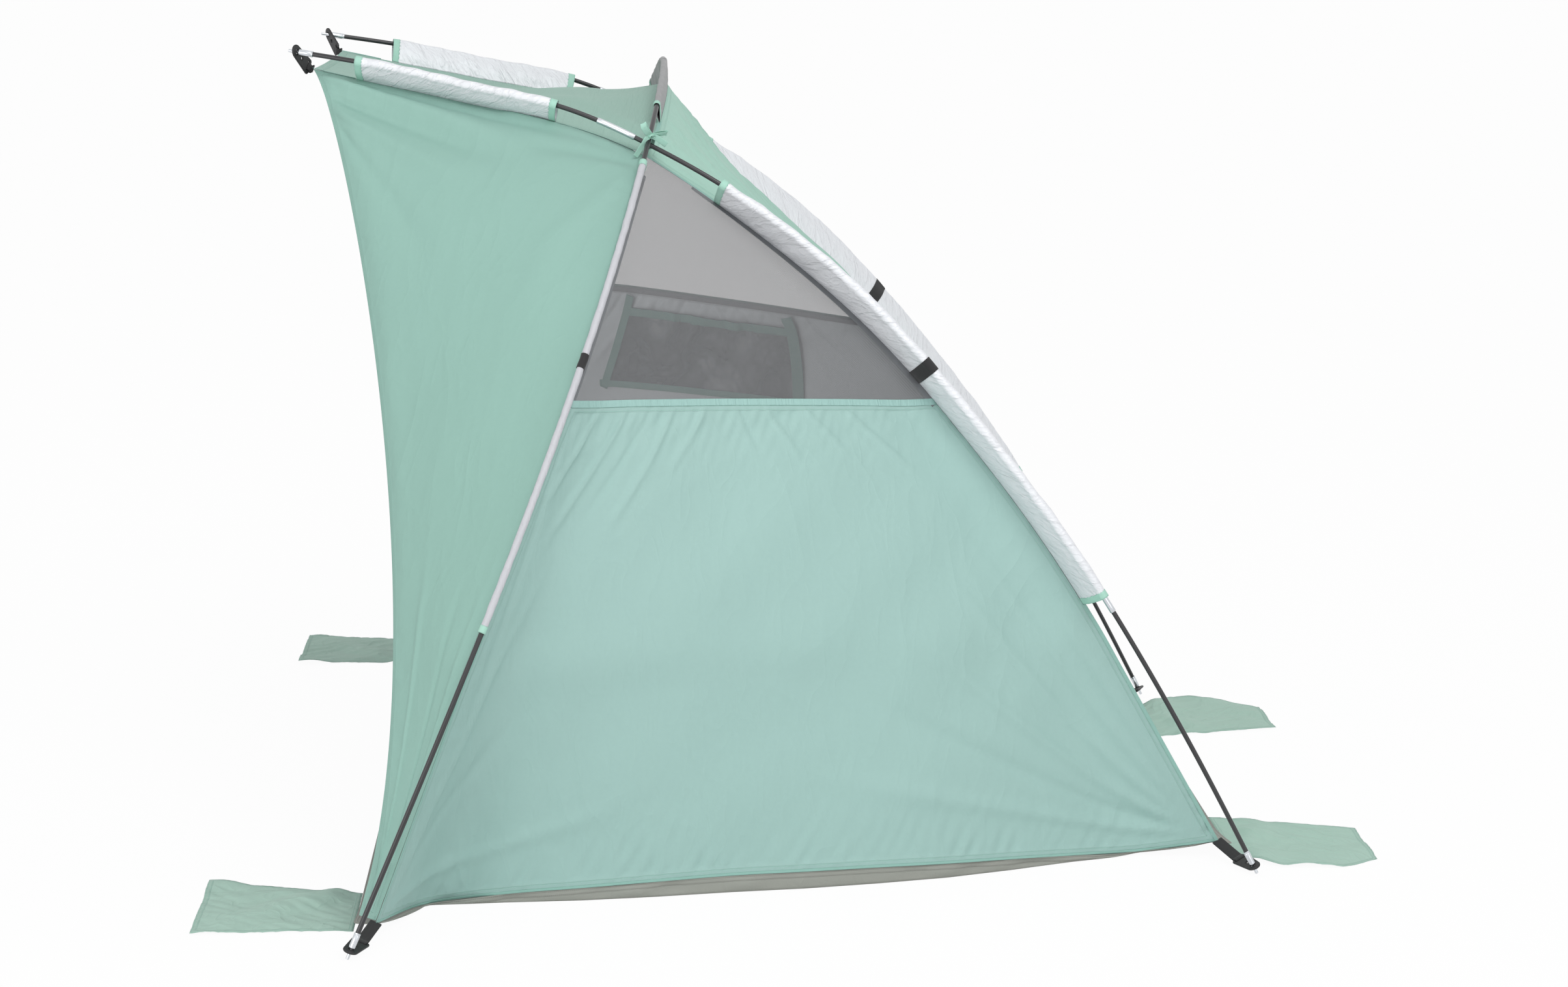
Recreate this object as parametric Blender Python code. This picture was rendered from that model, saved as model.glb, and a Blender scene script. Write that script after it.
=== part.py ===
"""Beach tent: three bent poles carry a stitched cloth shelter with an awning, a floor and four sand flaps.

Metres, +Z up. The entrance faces -Y. The origin is on the ground, in the middle of the footprint.
"""

import math

import bmesh
import bpy
import numpy as np

# Overall sizes, from pin to pin
FRONT_SPAN = 2.200
REAR_SPAN = 1.214
FOOT_DEPTH = 1.463
HOOP_HEIGHT = 1.280
HOOP_LEAN = 0.458
AWNING_SPAN = 0.612
AWNING_REACH = 0.167
AWNING_HEIGHT = 1.296

# Poles
POLE_DIAMETER = 0.0079
JOINT_GAP = 0.0003
HUB_CLEARANCE = 0.0007
HUB_FROM_FOOT = 1.471
HOOP_SECTIONS = 6
HIDDEN_FERRULE_LENGTH = 0.060
SIDE_FRONT_JOINT = 0.565
SIDE_MIDDLE_JOINT = 1.130
SIDE_REAR_JOINT = 1.685

# Steel ferrules and pins
FERRULE_DIAMETER = 0.0100
FERRULE_LENGTH = 0.068
PIN_DIAMETER = 0.0053
PIN_LENGTH = 0.0190
PIN_CHAMFER = 0.0005
PIN_TOE_IN = 0.0014
BARREL_LENGTH = 0.0240
BARREL_FLOOR = 0.0060
BARREL_CHAMFER = 0.0008

# Plastic corner tabs
TAB_THICKNESS = 0.0028
TAB_NOSE_RADIUS = 0.0110
TAB_END_WIDTH = 0.0280
TAB_LENGTH = 0.0420
TAB_CORNER_RADIUS = 0.0040
TAB_PIN_HOLE = 0.0080
TAB_SMALL_HOLE = 0.0060
TAB_HOLE_PITCH = 0.0165
TAB_SLOT_LENGTH = 0.0215
TAB_SLOT_WIDTH = 0.0036
TAB_BAR_WIDTH = 0.0044
TAB_SEAT_GAP = 0.0004

# Webbing that ties each fabric corner to its tab
WEBBING_WIDTH = 0.0190
WEBBING_THICKNESS = 0.0011
WEBBING_GAP = 0.0004
WEBBING_CORNER_GAP = 0.0130
WEBBING_JOIN = 0.0070
WEBBING_LEAST = 0.0020
WEBBING_MOST_RISE = 40.0
WEBBING_SHORT_PASS = 31.5

# Cloth and its seams
CLOTH_THICKNESS = 0.0012
SLEEVE_THICKNESS = 0.0009
SLEEVE_PLAY = 0.0003
SEAM_CLEARANCE = 0.00115
CORNER_CLEARANCE = 0.0028
AWNING_EDGE_CLEARANCE = 0.0032
HEM_GAP = 0.0004
REAR_FOOT_PLAY = 0.0012
TIP_LENGTH = 0.030
FRONT_BAND_WIDTH = 0.030
REAR_BAND_WIDTH = 0.055
LEG_BAND_WIDTH = 0.013
RIDGE_BAND_WIDTH = 0.042
HUB_SEAM_DROP = 0.0225

# Sleeves: where each starts and ends along its pole
FRONT_SLEEVE_START = 0.116
FRONT_SLEEVE_END = 0.460
REAR_SLEEVE_START = 0.762
REAR_SLEEVE_END = 1.691
LEG_SLEEVE_START = 0.524
LEG_SLEEVE_END = 1.406
RIDGE_SLEEVE_FROM_HUB = 0.118
REAR_STRAP_PLACE = 1.2135
LEG_STRAP_PLACE = 0.980
STRAP_WIDTH = 0.025
STRAP_PROUD = 0.0010

# Fabric corners, measured from the pin tips
FRONT_CORNER_IN = 0.088
FRONT_CORNER_BACK = 0.037
REAR_CORNER_IN = 0.090
REAR_CORNER_FORWARD = 0.053
CORNER_HEIGHT = 0.030
AWNING_CORNER_IN = 0.022
AWNING_CORNER_BACK = 0.040
AWNING_CORNER_DROP = 0.030
WING_FOOT_AHEAD = 0.027
WING_FOOT_IN = 0.010
WING_FOOT_RISE = 0.016

# Cloth lines and hollows
LEG_HEM_PLACE = 0.909
REAR_HEM_PLACE = 1.270
SIDE_EDGE_CUT = 0.150
ROOF_SAG = 0.024
REAR_SAG = 0.040
SIDE_SAG = 0.012
FOLD_DEPTH = 0.005

# Floor
FLOOR_THICKNESS = 0.0015
RIM_HEIGHT = 0.0260
RIM_LEAST = 0.0020
CORNER_LIFT_REACH = 0.185
FLOOR_TIP_INSET = 0.0080
FLOOR_REAR_MARGIN = 0.0300

# Sand flaps
FLAP_LENGTH = 0.245
FLAP_THICKNESS = 0.0020
FLAP_RIPPLE = 0.0035
FLAP_HINGE_GAP = 0.0006
FRONT_FLAP_FROM_PIN = 0.133
FRONT_FLAP_WIDTH = 0.191
REAR_FLAP_FROM_PIN = 0.092
REAR_FLAP_WIDTH = 0.240

# Mesh pocket
POCKET_THICKNESS = 0.0010
POCKET_GAP = 0.0007

# Hub ties
TIE_WIDTH = 0.0080
TIE_THICKNESS = 0.0010
TIE_GAP = 0.0005
TIE_STEM_GAP = 0.0045
KNOT_WIDTH = 0.0070
KNOT_HEIGHT = 0.0090
LOOP_LENGTH = 0.0230
LOOP_HEIGHT = 0.0070
TAIL_LENGTH = 0.0270
TAIL_RISE = 0.0010
TAIL_DROOP = 0.0090

# Shapes, as shares of the sizes above
HOOP_SHARES = (
    (1.000, 0.000, 0.000),
    (0.9035, 0.424, 0.381),
    (0.8165, 0.825, 0.709),
    (0.4594, 0.993, 1.000),
    (0.000, 1.000, 1.000),
)
SIDE_AHEAD_SHARES = (
    (0.0000, 0.0000, 0.0000),
    (0.3412, 0.3612, 0.2316),
    (0.5248, 0.5440, 0.3930),
    (0.7368, 0.7367, 0.5484),
)
SIDE_BEHIND_SHARES = (
    (0.1193, 0.0599, 0.0249),
    (0.2596, 0.1617, 0.0756),
    (0.4847, 0.3589, 0.2103),
    (0.6494, 0.5042, 0.3461),
    (0.7717, 0.6544, 0.5069),
    (0.8614, 0.8178, 0.7199),
    (0.9185, 0.9033, 0.8463),
    (1.0000, 1.0000, 1.0000),
)
HEART_SHARES = (0.000, 0.376, 0.547)
REAR_SEAM_SHARES = ((0.00, 0.41), (0.06, 0.76), (0.14, 0.92), (0.35, 1.02), (0.67, 1.06), (1.00, 1.06))
LEG_SEAM_SHARES = ((0.00, 1.75), (0.05, 1.15), (0.20, 1.00), (0.60, 1.05), (0.80, 1.40), (1.00, 1.90))
RIDGE_SEAM_SHARES = ((0.00, 0.54), (0.27, 0.78), (0.60, 0.95), (1.00, 1.00))
WING_EDGE_SHARES = ((0.0, 0.0, 0.0), (0.093, 0.417, 0.052), (0.810, 1.898, 0.671), (1.0, 1.0, 1.0))
SIDE_EDGE_SHARES = (
    (0.000, 0.00),
    (0.030, 0.62),
    (0.085, 0.98),
    (0.156, 0.84),
    (0.283, 0.57),
    (0.406, 0.45),
    (0.532, 0.27),
    (0.680, 0.21),
    (0.797, 0.29),
    (0.882, 0.39),
    (0.950, 0.30),
    (1.000, 0.00),
)
POCKET_COLUMN_SHARES = (0.17, 0.75)
POCKET_ROW_SHARES = (0.08, 0.25)
FRONT_FLAP_INNER_SHARES = ((0.0, 0.0), (1.0, -0.18))
FRONT_FLAP_OUTER_SHARES = ((0.0, 0.0), (1.0, 0.136))
REAR_FLAP_INNER_SHARES = ((0.0, 0.0), (1.0, 0.29))
REAR_FLAP_OUTER_SHARES = ((0.0, 0.0), (0.3, 0.23), (0.72, 0.22), (1.0, 0.0))
FLOOR_COLUMN_SHARES = (0.0, 0.25, 0.5, 0.75, 0.94, 1.0)
RIM_SPAN_SHARES = (0.085, 0.885)
REAR_FOOT_SHARE = 0.6
LOOP_NECK_SHARE = 0.86
LOOP_TURN_SHARE = 0.8
TAB_TURN_SHARE = 0.5

# How many waves each piece of cloth shows, and how late the front corner's clearance opens
CORNER_POWER = 5
ROOF_FOLDS = 2
REAR_FOLDS = 3
WING_FOLDS = 1.5
SIDE_FOLDS = 2
FLAP_WAVES = 1.5

# Facets
POLE_SIDES = 10
SLEEVE_SIDES = 8
HOLE_SIDES = 16
NOSE_STEPS = 10
CORNER_STEPS = 3
AWNING_STEPS = 8
UPPER_STEPS = 7
LOWER_STEPS = 12
RIDGE_STEPS = 12
SIDE_COLUMNS = 12
FLAP_STEPS = 7
LOOP_STEPS = 8
DENSE_POINTS = 1600

MIRROR_X = np.array([-1.0, 1.0, 1.0])
UP = np.array([0.0, 0.0, 1.0])
BODY = {}


# Materials and meshes


def clear_scene():
    """Remove everything that the file starts with."""
    for old in list(bpy.data.objects):
        bpy.data.objects.remove(old, do_unlink=True)


def material(name, colour, roughness, metallic):
    """A Principled material from an sRGB colour of 0 to 255."""
    made = bpy.data.materials.new(name)
    made.use_nodes = True
    shader = made.node_tree.nodes["Principled BSDF"]
    linear = [(channel / 255.0) ** 2.2 for channel in colour]
    shader.inputs["Base Color"].default_value = (*linear, 1.0)
    shader.inputs["Roughness"].default_value = roughness
    shader.inputs["Metallic"].default_value = metallic
    made.diffuse_color = (*linear, 1.0)
    return made


def add_object(name, points, faces, finish, origin=None, smooth=True):
    """One named object from points and faces, with its origin moved to a given place."""
    origin = np.zeros(3) if origin is None else np.asarray(origin, float)
    shift = np.array([0.0, BODY["middle"], 0.0])
    mesh = bpy.data.meshes.new(name)
    local = np.asarray(points, float) - origin
    mesh.from_pydata([tuple(point) for point in local], [], [tuple(int(k) for k in face) for face in faces])
    shaped = bmesh.new()
    shaped.from_mesh(mesh)
    bmesh.ops.recalc_face_normals(shaped, faces=shaped.faces)
    shaped.to_mesh(mesh)
    shaped.free()
    if smooth:
        mesh.shade_smooth()
        mesh.set_sharp_from_angle(angle=math.radians(40.0))
    mesh.materials.append(finish)
    made = bpy.data.objects.new(name, mesh)
    made.location = tuple(origin - shift)
    bpy.context.collection.objects.link(made)
    return made


def both_sides(name, points, faces, finish, origin=None, smooth=True):
    """The same piece on the right and, mirrored, on the left."""
    points = np.asarray(points, float)
    made = []
    for side, flip in (("right", 1.0), ("left", -1.0)):
        turn = np.array([flip, 1.0, 1.0])
        place = None if origin is None else np.asarray(origin, float) * turn
        made.append(add_object(f"{name}_{side}", points * turn, faces, finish, place, smooth))
    return made


# Vectors and curves


def unit(vectors):
    """Vectors scaled to length one."""
    vectors = np.asarray(vectors, float)
    return vectors / np.linalg.norm(vectors, axis=-1, keepdims=True)


def bezier(control, shares):
    """Points of a Bezier curve of any degree at the given shares of its way."""
    control = np.asarray(control, float)
    degree = len(control) - 1
    shares = np.asarray(shares, float)[:, None]
    total = np.zeros((len(shares), control.shape[1]))
    for index, point in enumerate(control):
        weight = math.comb(degree, index) * shares**index * (1.0 - shares) ** (degree - index)
        total += weight * point
    return total


def spline(knots, values, places):
    """A natural cubic spline of the values at the knots, read at the places."""
    knots = np.asarray(knots, float)
    values = np.asarray(values, float).reshape(len(knots), -1)
    spans = np.diff(knots)
    size = len(knots)
    matrix = np.eye(size)
    right = np.zeros_like(values)
    slopes = np.diff(values, axis=0) / spans[:, None]
    for row in range(1, size - 1):
        matrix[row, row - 1] = spans[row - 1]
        matrix[row, row] = 2.0 * (spans[row - 1] + spans[row])
        matrix[row, row + 1] = spans[row]
        right[row] = 6.0 * (slopes[row] - slopes[row - 1])
    bends = np.linalg.solve(matrix, right)
    places = np.clip(np.asarray(places, float), knots[0], knots[-1])
    span = np.clip(np.searchsorted(knots, places, side="right") - 1, 0, size - 2)
    width = spans[span][:, None]
    before = (knots[span + 1] - places)[:, None]
    after = (places - knots[span])[:, None]
    curve = (bends[span] * before**3 + bends[span + 1] * after**3) / (6.0 * width)
    curve += (values[span] / width - bends[span] * width / 6.0) * before
    curve += (values[span + 1] / width - bends[span + 1] * width / 6.0) * after
    return curve


def distances(points):
    """The way run along a chain of points, from zero."""
    return np.concatenate([[0.0], np.cumsum(np.linalg.norm(np.diff(points, axis=0), axis=1))])


def through(points):
    """Dense points of a smooth curve through the given ones."""
    run = distances(points)
    return spline(run, points, np.linspace(0.0, run[-1], DENSE_POINTS))


def stations(places, steps):
    """Places from the first to the last, with each span cut into its number of steps."""
    found = [places[0]]
    for start, end, count in zip(places[:-1], places[1:], steps):
        found.extend(start + (end - start) * (k + 1) / count for k in range(count))
    return np.array(found)


class Line:
    """A chain of straight runs between points, each with its place along the pole."""

    def __init__(self, places, points):
        self.places = np.asarray(places, float)
        self.points = np.asarray(points, float)

    def at(self, place):
        """The point, or points, at a place."""
        return np.stack([np.interp(place, self.places, axis) for axis in self.points.T], axis=-1)

    def between(self, start, end):
        """The start, each corner of the chain after it, and the end."""
        inner = [place for place in self.places if start + JOINT_GAP < place < end - JOINT_GAP]
        return [start, *inner, end]


class Rail(Line):
    """A pole's centre line with a steady cross-section frame at each corner of it."""

    def __init__(self, dense, places):
        run = distances(dense)
        super().__init__(places, np.stack([np.interp(places, run, axis) for axis in dense.T], axis=-1))
        ahead = np.gradient(self.points, axis=0)
        self.length = float(places[-1])
        self.along = unit(ahead)
        square = unit(np.cross(self.along[0], UP))
        frames = []
        for direction in self.along:
            square = unit(square - np.dot(square, direction) * direction)
            frames.append((square, np.cross(direction, square)))
        self.first = Line(places, [frame[0] for frame in frames])
        self.second = Line(places, [frame[1] for frame in frames])
        self.tangent = Line(places, self.along)

    def ring(self, place, radius, sides=POLE_SIDES):
        """A ring of points round the pole."""
        turn = np.arange(sides) * (2.0 * math.pi / sides)
        first = self.first.at(place)
        second = self.second.at(place)
        return self.at(place) + radius * (np.cos(turn)[:, None] * first + np.sin(turn)[:, None] * second)


# The poles' centre lines, right side, with the front pins at Y zero


def bore(radius, gap, sides):
    """The corner radius of a bore whose flats clear a round of this radius by the gap."""
    return (radius + gap) / math.cos(math.pi / sides)


def hoop_rail():
    """The transverse pole from the right foot over to the left foot."""
    scale = np.array([FRONT_SPAN / 2.0, HOOP_LEAN, HOOP_HEIGHT])
    right = bezier(np.array(HOOP_SHARES) * scale, np.linspace(0.0, 1.0, DENSE_POINTS))
    dense = np.concatenate([right, (right * MIRROR_X)[::-1][1:]])
    length = distances(dense)[-1]
    leg = stations([0.0, LEG_HEM_PLACE, HUB_FROM_FOOT], [LOWER_STEPS, UPPER_STEPS])
    ridge = stations([HUB_FROM_FOOT, length - HUB_FROM_FOOT], [RIDGE_STEPS])
    return Rail(dense, np.concatenate([leg, ridge[1:], (length - leg)[::-1][1:]]))


def side_rail(hoop):
    """The side pole from the awning tip, inside the hoop, to the rear foot, and its place there."""
    tip = np.array([AWNING_SPAN / 2.0, -AWNING_REACH, AWNING_HEIGHT])
    foot = np.array([REAR_SPAN / 2.0, FOOT_DEPTH, 0.0])
    before = np.array(SIDE_AHEAD_SHARES)
    after = np.array(SIDE_BEHIND_SHARES)
    hub = hoop.at(HUB_FROM_FOOT)
    across = hoop.tangent.at(HUB_FROM_FOOT)
    chord = hub + (foot - hub) * after[0] - tip - (hub - tip) * before[-1]
    inner = unit(np.cross(across, unit(chord)))
    inner = -inner * np.sign(inner[2])
    crossing = hub + inner * (POLE_DIAMETER + HUB_CLEARANCE)
    ahead = tip + (crossing - tip) * before
    behind = crossing + (foot - crossing) * after
    dense = through(np.vstack([ahead, crossing, behind]))
    run = distances(dense)
    hub_place = float(run[np.argmin(np.linalg.norm(dense - crossing, axis=1))])
    places = stations(
        [0.0, hub_place, REAR_HEM_PLACE, float(run[-1])], [AWNING_STEPS, UPPER_STEPS, LOWER_STEPS]
    )
    return Rail(dense, places), hub_place, inner


def inward(rail, places):
    """Unit directions from the pole towards the tent's heart, square to the pole."""
    heart = np.array(HEART_SHARES) * np.array([FRONT_SPAN, FOOT_DEPTH, HOOP_HEIGHT])
    points = rail.at(places)
    along = rail.tangent.at(places)
    aim = heart - points
    return unit(aim - np.sum(aim * along, axis=-1, keepdims=True) * along)


def seam(rail, places, width, shares, start):
    """A seam beside a pole: its offset is width times the shares, spread from the first place on."""
    spread = (places - places[0]) / (places[-1] - places[0])
    table = np.array(shares)
    factor = spline(table[:, 0], table[:, 1], spread)
    points = rail.at(places) + inward(rail, places) * width * factor
    points[0] = start
    return points


def straight_end(points, places, last_place, end):
    """Points past a place moved to the straight way to the end."""
    made = points.copy()
    held = int(np.searchsorted(places, last_place))
    rest = np.linspace(0.0, 1.0, len(points) - held)[:, None]
    made[held:] = made[held] + (end - made[held]) * rest
    return made


# Solids along the poles


def loft(rings, closed=False):
    """Faces that join rings of equal count, with end caps unless the chain closes on itself."""
    sides = len(rings[0])
    count = len(rings)
    faces = []
    for row in range(count if closed else count - 1):
        here = row * sides
        after = ((row + 1) % count) * sides
        for k in range(sides):
            beside = (k + 1) % sides
            faces.append((here + k, here + beside, after + beside, after + k))
    if not closed:
        faces.append(tuple(range(sides)))
        faces.append(tuple(range((count - 1) * sides, count * sides)))
    return np.concatenate(rings), faces


def turned(rail, profile):
    """Rings for a list of places and radii, with the rail's own corners added between them."""
    rings = []
    for index, (place, radius) in enumerate(profile):
        if index and abs(profile[index - 1][0] - place) > POLE_DIAMETER:
            before, before_radius = profile[index - 1]
            low, high = sorted((before, place))
            inner = rail.between(low, high)[1:-1]
            if place < before:
                inner = inner[::-1]
            for middle in inner:
                share = (middle - before) / (place - before)
                rings.append(rail.ring(middle, before_radius + (radius - before_radius) * share))
        rings.append(rail.ring(place, radius))
    return rings


def pole_section(rail, start, end, cup):
    """A pole section; with a cup, a ferrule on its far end takes the next section."""
    radius = POLE_DIAMETER / 2.0
    if not cup:
        return loft(turned(rail, [(start, radius), (end, radius)]))
    reach = HIDDEN_FERRULE_LENGTH / 2.0
    outer = FERRULE_DIAMETER / 2.0
    hole = radius + JOINT_GAP / math.cos(math.pi / POLE_SIDES)
    profile = [(start, radius), (end - reach, radius), (end - reach, outer), (end + reach, outer)]
    return loft(turned(rail, profile + [(end + reach, hole), (end, hole)]))


def ferrule(rail, middle):
    """An open steel tube over the joint of two pole sections."""
    low = middle - FERRULE_LENGTH / 2.0
    high = middle + FERRULE_LENGTH / 2.0
    outer = FERRULE_DIAMETER / 2.0
    hole = POLE_DIAMETER / 2.0 + JOINT_GAP / math.cos(math.pi / POLE_SIDES)
    rings = turned(rail, [(low, outer), (high, outer)])
    rings += turned(rail, [(high, hole), (low, hole)])
    return loft(rings, closed=True)


def end_ferrule(rail, tip, direction):
    """A stepped steel end: a pin, a shoulder and a barrel whose bore takes the pole."""
    pin = PIN_DIAMETER / 2.0
    outer = FERRULE_DIAMETER / 2.0
    hole = POLE_DIAMETER / 2.0 + JOINT_GAP / math.cos(math.pi / POLE_SIDES)
    shoulder = PIN_LENGTH
    top = PIN_LENGTH + BARREL_LENGTH
    chain = [
        (PIN_TOE_IN, pin - PIN_CHAMFER),
        (PIN_TOE_IN + PIN_CHAMFER, pin),
        (shoulder, pin),
        (shoulder, outer - BARREL_CHAMFER),
        (shoulder + BARREL_CHAMFER, outer),
        (top, outer),
        (top, hole),
        (shoulder + BARREL_FLOOR, hole),
    ]
    return loft(turned(rail, [(tip + direction * place, radius) for place, radius in chain]))


def sleeve(rail, edge, start, end, strap):
    """A cloth tube round the pole with a flat tail that runs to the seam, and a raised strap round it."""
    bore_radius = bore(FERRULE_DIAMETER / 2.0, SLEEVE_PLAY, SLEEVE_SIDES)
    places = [(place, 0.0) for place in rail.between(start, end)]
    if strap:
        low = strap - STRAP_WIDTH / 2.0
        high = strap + STRAP_WIDTH / 2.0
        places = [entry for entry in places if not low - STRAP_PROUD < entry[0] < high + STRAP_PROUD]
        held = [place for place in rail.places if low + STRAP_PROUD < place < high - STRAP_PROUD]
        places += [(low - STRAP_PROUD, 0.0), (low, STRAP_PROUD), (high, STRAP_PROUD), (high + STRAP_PROUD, 0.0)]
        places = sorted(places + [(place, STRAP_PROUD) for place in held])
    rings = []
    for place, proud in places:
        centre = rail.at(place)
        first = rail.first.at(place)
        second = rail.second.at(place)
        aim = edge.at(place) - centre
        angle = math.atan2(np.dot(aim, second), np.dot(aim, first))
        out = unit(aim)
        wide = unit(np.cross(rail.tangent.at(place), out))
        half = SLEEVE_THICKNESS + proud
        outer = bore_radius + SLEEVE_THICKNESS + proud
        root = math.asin(half / outer)
        turn = angle + np.linspace(root, 2.0 * math.pi - root, SLEEVE_SIDES)
        circle = np.cos(turn)[:, None] * first + np.sin(turn)[:, None] * second
        length = np.linalg.norm(aim) - SEAM_CLEARANCE
        tail = [centre + out * length - wide * half, centre + out * length + wide * half]
        rings.append(np.vstack([centre + outer * circle, tail, centre + bore_radius * circle]))
    sides = SLEEVE_SIDES
    around = sides + 2
    size = around + sides
    faces = []
    for row in range(len(rings) - 1):
        here = row * size
        after = here + size
        for k in range(around):
            beside = (k + 1) % around
            faces.append((here + k, here + beside, after + beside, after + k))
        for k in range(sides):
            beside = (k + 1) % sides
            faces.append((here + around + k, here + around + beside, after + around + beside, after + around + k))
    for here in (0, (len(rings) - 1) * size):
        for k in range(sides):
            beside = (k + 1) % sides
            faces.append((here + k, here + beside, here + around + beside, here + around + k))
        faces.append((here, here + sides - 1, here + sides, here + sides + 1))
    return np.concatenate(rings), faces


# Cloth sheets


def drawn_in(grid, edges):
    """A grid of points with its outer rows and columns drawn in from their seams."""
    made = grid.copy()
    first_row, last_row, first_column, last_column = (np.reshape(edge, (-1, 1)) for edge in edges)
    made[0] += unit(grid[1] - grid[0]) * first_row
    made[-1] += unit(grid[-2] - grid[-1]) * last_row
    made[:, 0] += unit(grid[:, 1] - grid[:, 0]) * first_column
    made[:, -1] += unit(grid[:, -2] - grid[:, -1]) * last_column
    return made


def grid_normals(grid):
    """Unit normals of a grid of points."""
    return unit(np.cross(np.gradient(grid, axis=1), np.gradient(grid, axis=0)))


def sheet(grid, thickness, shift=0.0):
    """A closed sheet of cloth about a grid of points, shifted along its normals."""
    rows, columns = grid.shape[:2]
    normals = grid_normals(grid)
    top = grid + normals * (shift + thickness / 2.0)
    under = grid + normals * (shift - thickness / 2.0)
    return slab(top, under, rows, columns)


def slab(top, under, rows, columns):
    """Points and triangles between an upper and a lower grid, with their rim."""
    points = np.concatenate([top.reshape(-1, 3), under.reshape(-1, 3)])
    below = rows * columns
    faces = []
    for row in range(rows - 1):
        for column in range(columns - 1):
            a = row * columns + column
            b = a + 1
            c = a + columns + 1
            d = a + columns
            faces += [(a, b, c), (a, c, d)]
            faces += [(below + c, below + b, below + a), (below + d, below + c, below + a)]
    rim = [k for k in range(columns)]
    rim += [(row + 1) * columns - 1 for row in range(1, rows)]
    rim += [(rows - 1) * columns + k for k in range(columns - 2, -1, -1)]
    rim += [row * columns for row in range(rows - 2, 0, -1)]
    for index, here in enumerate(rim):
        beside = rim[(index + 1) % len(rim)]
        faces.append((here, beside, below + beside, below + here))
    return points, faces


def coons(top, bottom, left, right):
    """A patch between four edge chains; top and bottom share columns, left and right share rows."""
    columns = np.linspace(0.0, 1.0, len(top))[None, :, None]
    rows = np.linspace(0.0, 1.0, len(left))[:, None, None]
    across = (1.0 - rows) * top[None] + rows * bottom[None]
    down = (1.0 - columns) * left[:, None] + columns * right[:, None]
    corners = (1.0 - rows) * ((1.0 - columns) * top[0] + columns * top[-1])
    corners = corners + rows * ((1.0 - columns) * bottom[0] + columns * bottom[-1])
    return across + down - corners


def ruled(left, right, top, bottom, row_power):
    """Rows straight between two chains, with the first and last row's own bow fading into the patch."""
    columns = np.linspace(0.0, 1.0, len(bottom if bottom is not None else top))[None, :, None]
    rows = np.linspace(0.0, 1.0, len(left))[:, None, None]
    grid = (1.0 - columns) * left[:, None] + columns * right[:, None]
    if top is not None:
        grid = grid + (top - grid[0])[None] * (1.0 - rows) ** row_power
    if bottom is not None:
        grid = grid + (bottom - grid[-1])[None] * rows**row_power
    return grid


def hump(grid, power=1.0):
    """A value over a grid that is one in its middle and zero at its edges."""
    rows = np.linspace(0.0, 1.0, grid.shape[0])[:, None]
    columns = np.linspace(0.0, 1.0, grid.shape[1])[None, :]
    return (np.sin(math.pi * rows) * np.sin(math.pi * columns)) ** power


def folds(grid, count, turn):
    """Waves that run down a grid, turned a little across it."""
    rows = np.linspace(0.0, 1.0, grid.shape[0])[:, None]
    columns = np.linspace(0.0, 1.0, grid.shape[1])[None, :]
    return np.sin(2.0 * math.pi * count * (columns + turn * rows))


# Flat plates with holes


def plate(outer, holes, origin, first, second, thickness):
    """An outline with holes, filled and extruded by a thickness along its normal, centred on its plane."""
    normal = np.cross(first, second)
    shaped = bmesh.new()
    for loop in [outer, *holes]:
        low = [origin + a * first + b * second - normal * thickness / 2.0 for a, b in loop]
        corners = [shaped.verts.new(tuple(point)) for point in low]
        for k, corner in enumerate(corners):
            shaped.edges.new((corner, corners[(k + 1) % len(corners)]))
    bmesh.ops.triangle_fill(shaped, use_beauty=True, use_dissolve=False, edges=list(shaped.edges))
    grown = bmesh.ops.extrude_face_region(shaped, geom=list(shaped.faces))
    moved = [piece for piece in grown["geom"] if isinstance(piece, bmesh.types.BMVert)]
    bmesh.ops.translate(shaped, vec=tuple(normal * thickness), verts=moved)
    bmesh.ops.recalc_face_normals(shaped, faces=shaped.faces)
    shaped.verts.index_update()
    points = np.array([tuple(vertex.co) for vertex in shaped.verts])
    faces = [tuple(vertex.index for vertex in face.verts) for face in shaped.faces]
    shaped.free()
    return points, faces


def arc(centre, radius, start, end, steps):
    """Points of an arc in a plane, its angles in degrees."""
    turn = np.radians(np.linspace(start, end, steps + 1))
    return [(centre[0] + radius * math.cos(t), centre[1] + radius * math.sin(t)) for t in turn]


def round_hole(centre, diameter):
    """A round hole's points."""
    return arc(centre, diameter / 2.0, 0.0, 360.0 * (HOLE_SIDES - 1) / HOLE_SIDES, HOLE_SIDES - 1)


def tab_outline():
    """The tab: a round nose about the pin hole, straight flanks and an end with small round corners."""
    end = TAB_LENGTH
    half = TAB_END_WIDTH / 2.0
    corner = TAB_CORNER_RADIUS
    points = arc((0.0, 0.0), TAB_NOSE_RADIUS, 100.0, 260.0, NOSE_STEPS)
    points += arc((end - corner, corner - half), corner, -80.0, 0.0, CORNER_STEPS)
    points += arc((end - corner, half - corner), corner, 0.0, 80.0, CORNER_STEPS)
    return points


def slot_outline():
    """The webbing's slot: a rectangle with its corners cut round."""
    right = TAB_LENGTH - TAB_BAR_WIDTH
    left = right - TAB_SLOT_WIDTH
    half = TAB_SLOT_LENGTH / 2.0
    corner = TAB_SLOT_WIDTH / 4.0
    points = arc((right - corner, half - corner), corner, 0.0, 90.0, CORNER_STEPS)
    points += arc((left + corner, half - corner), corner, 90.0, 180.0, CORNER_STEPS)
    points += arc((left + corner, corner - half), corner, 180.0, 270.0, CORNER_STEPS)
    points += arc((right - corner, corner - half), corner, 270.0, 360.0, CORNER_STEPS)
    return points


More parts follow.
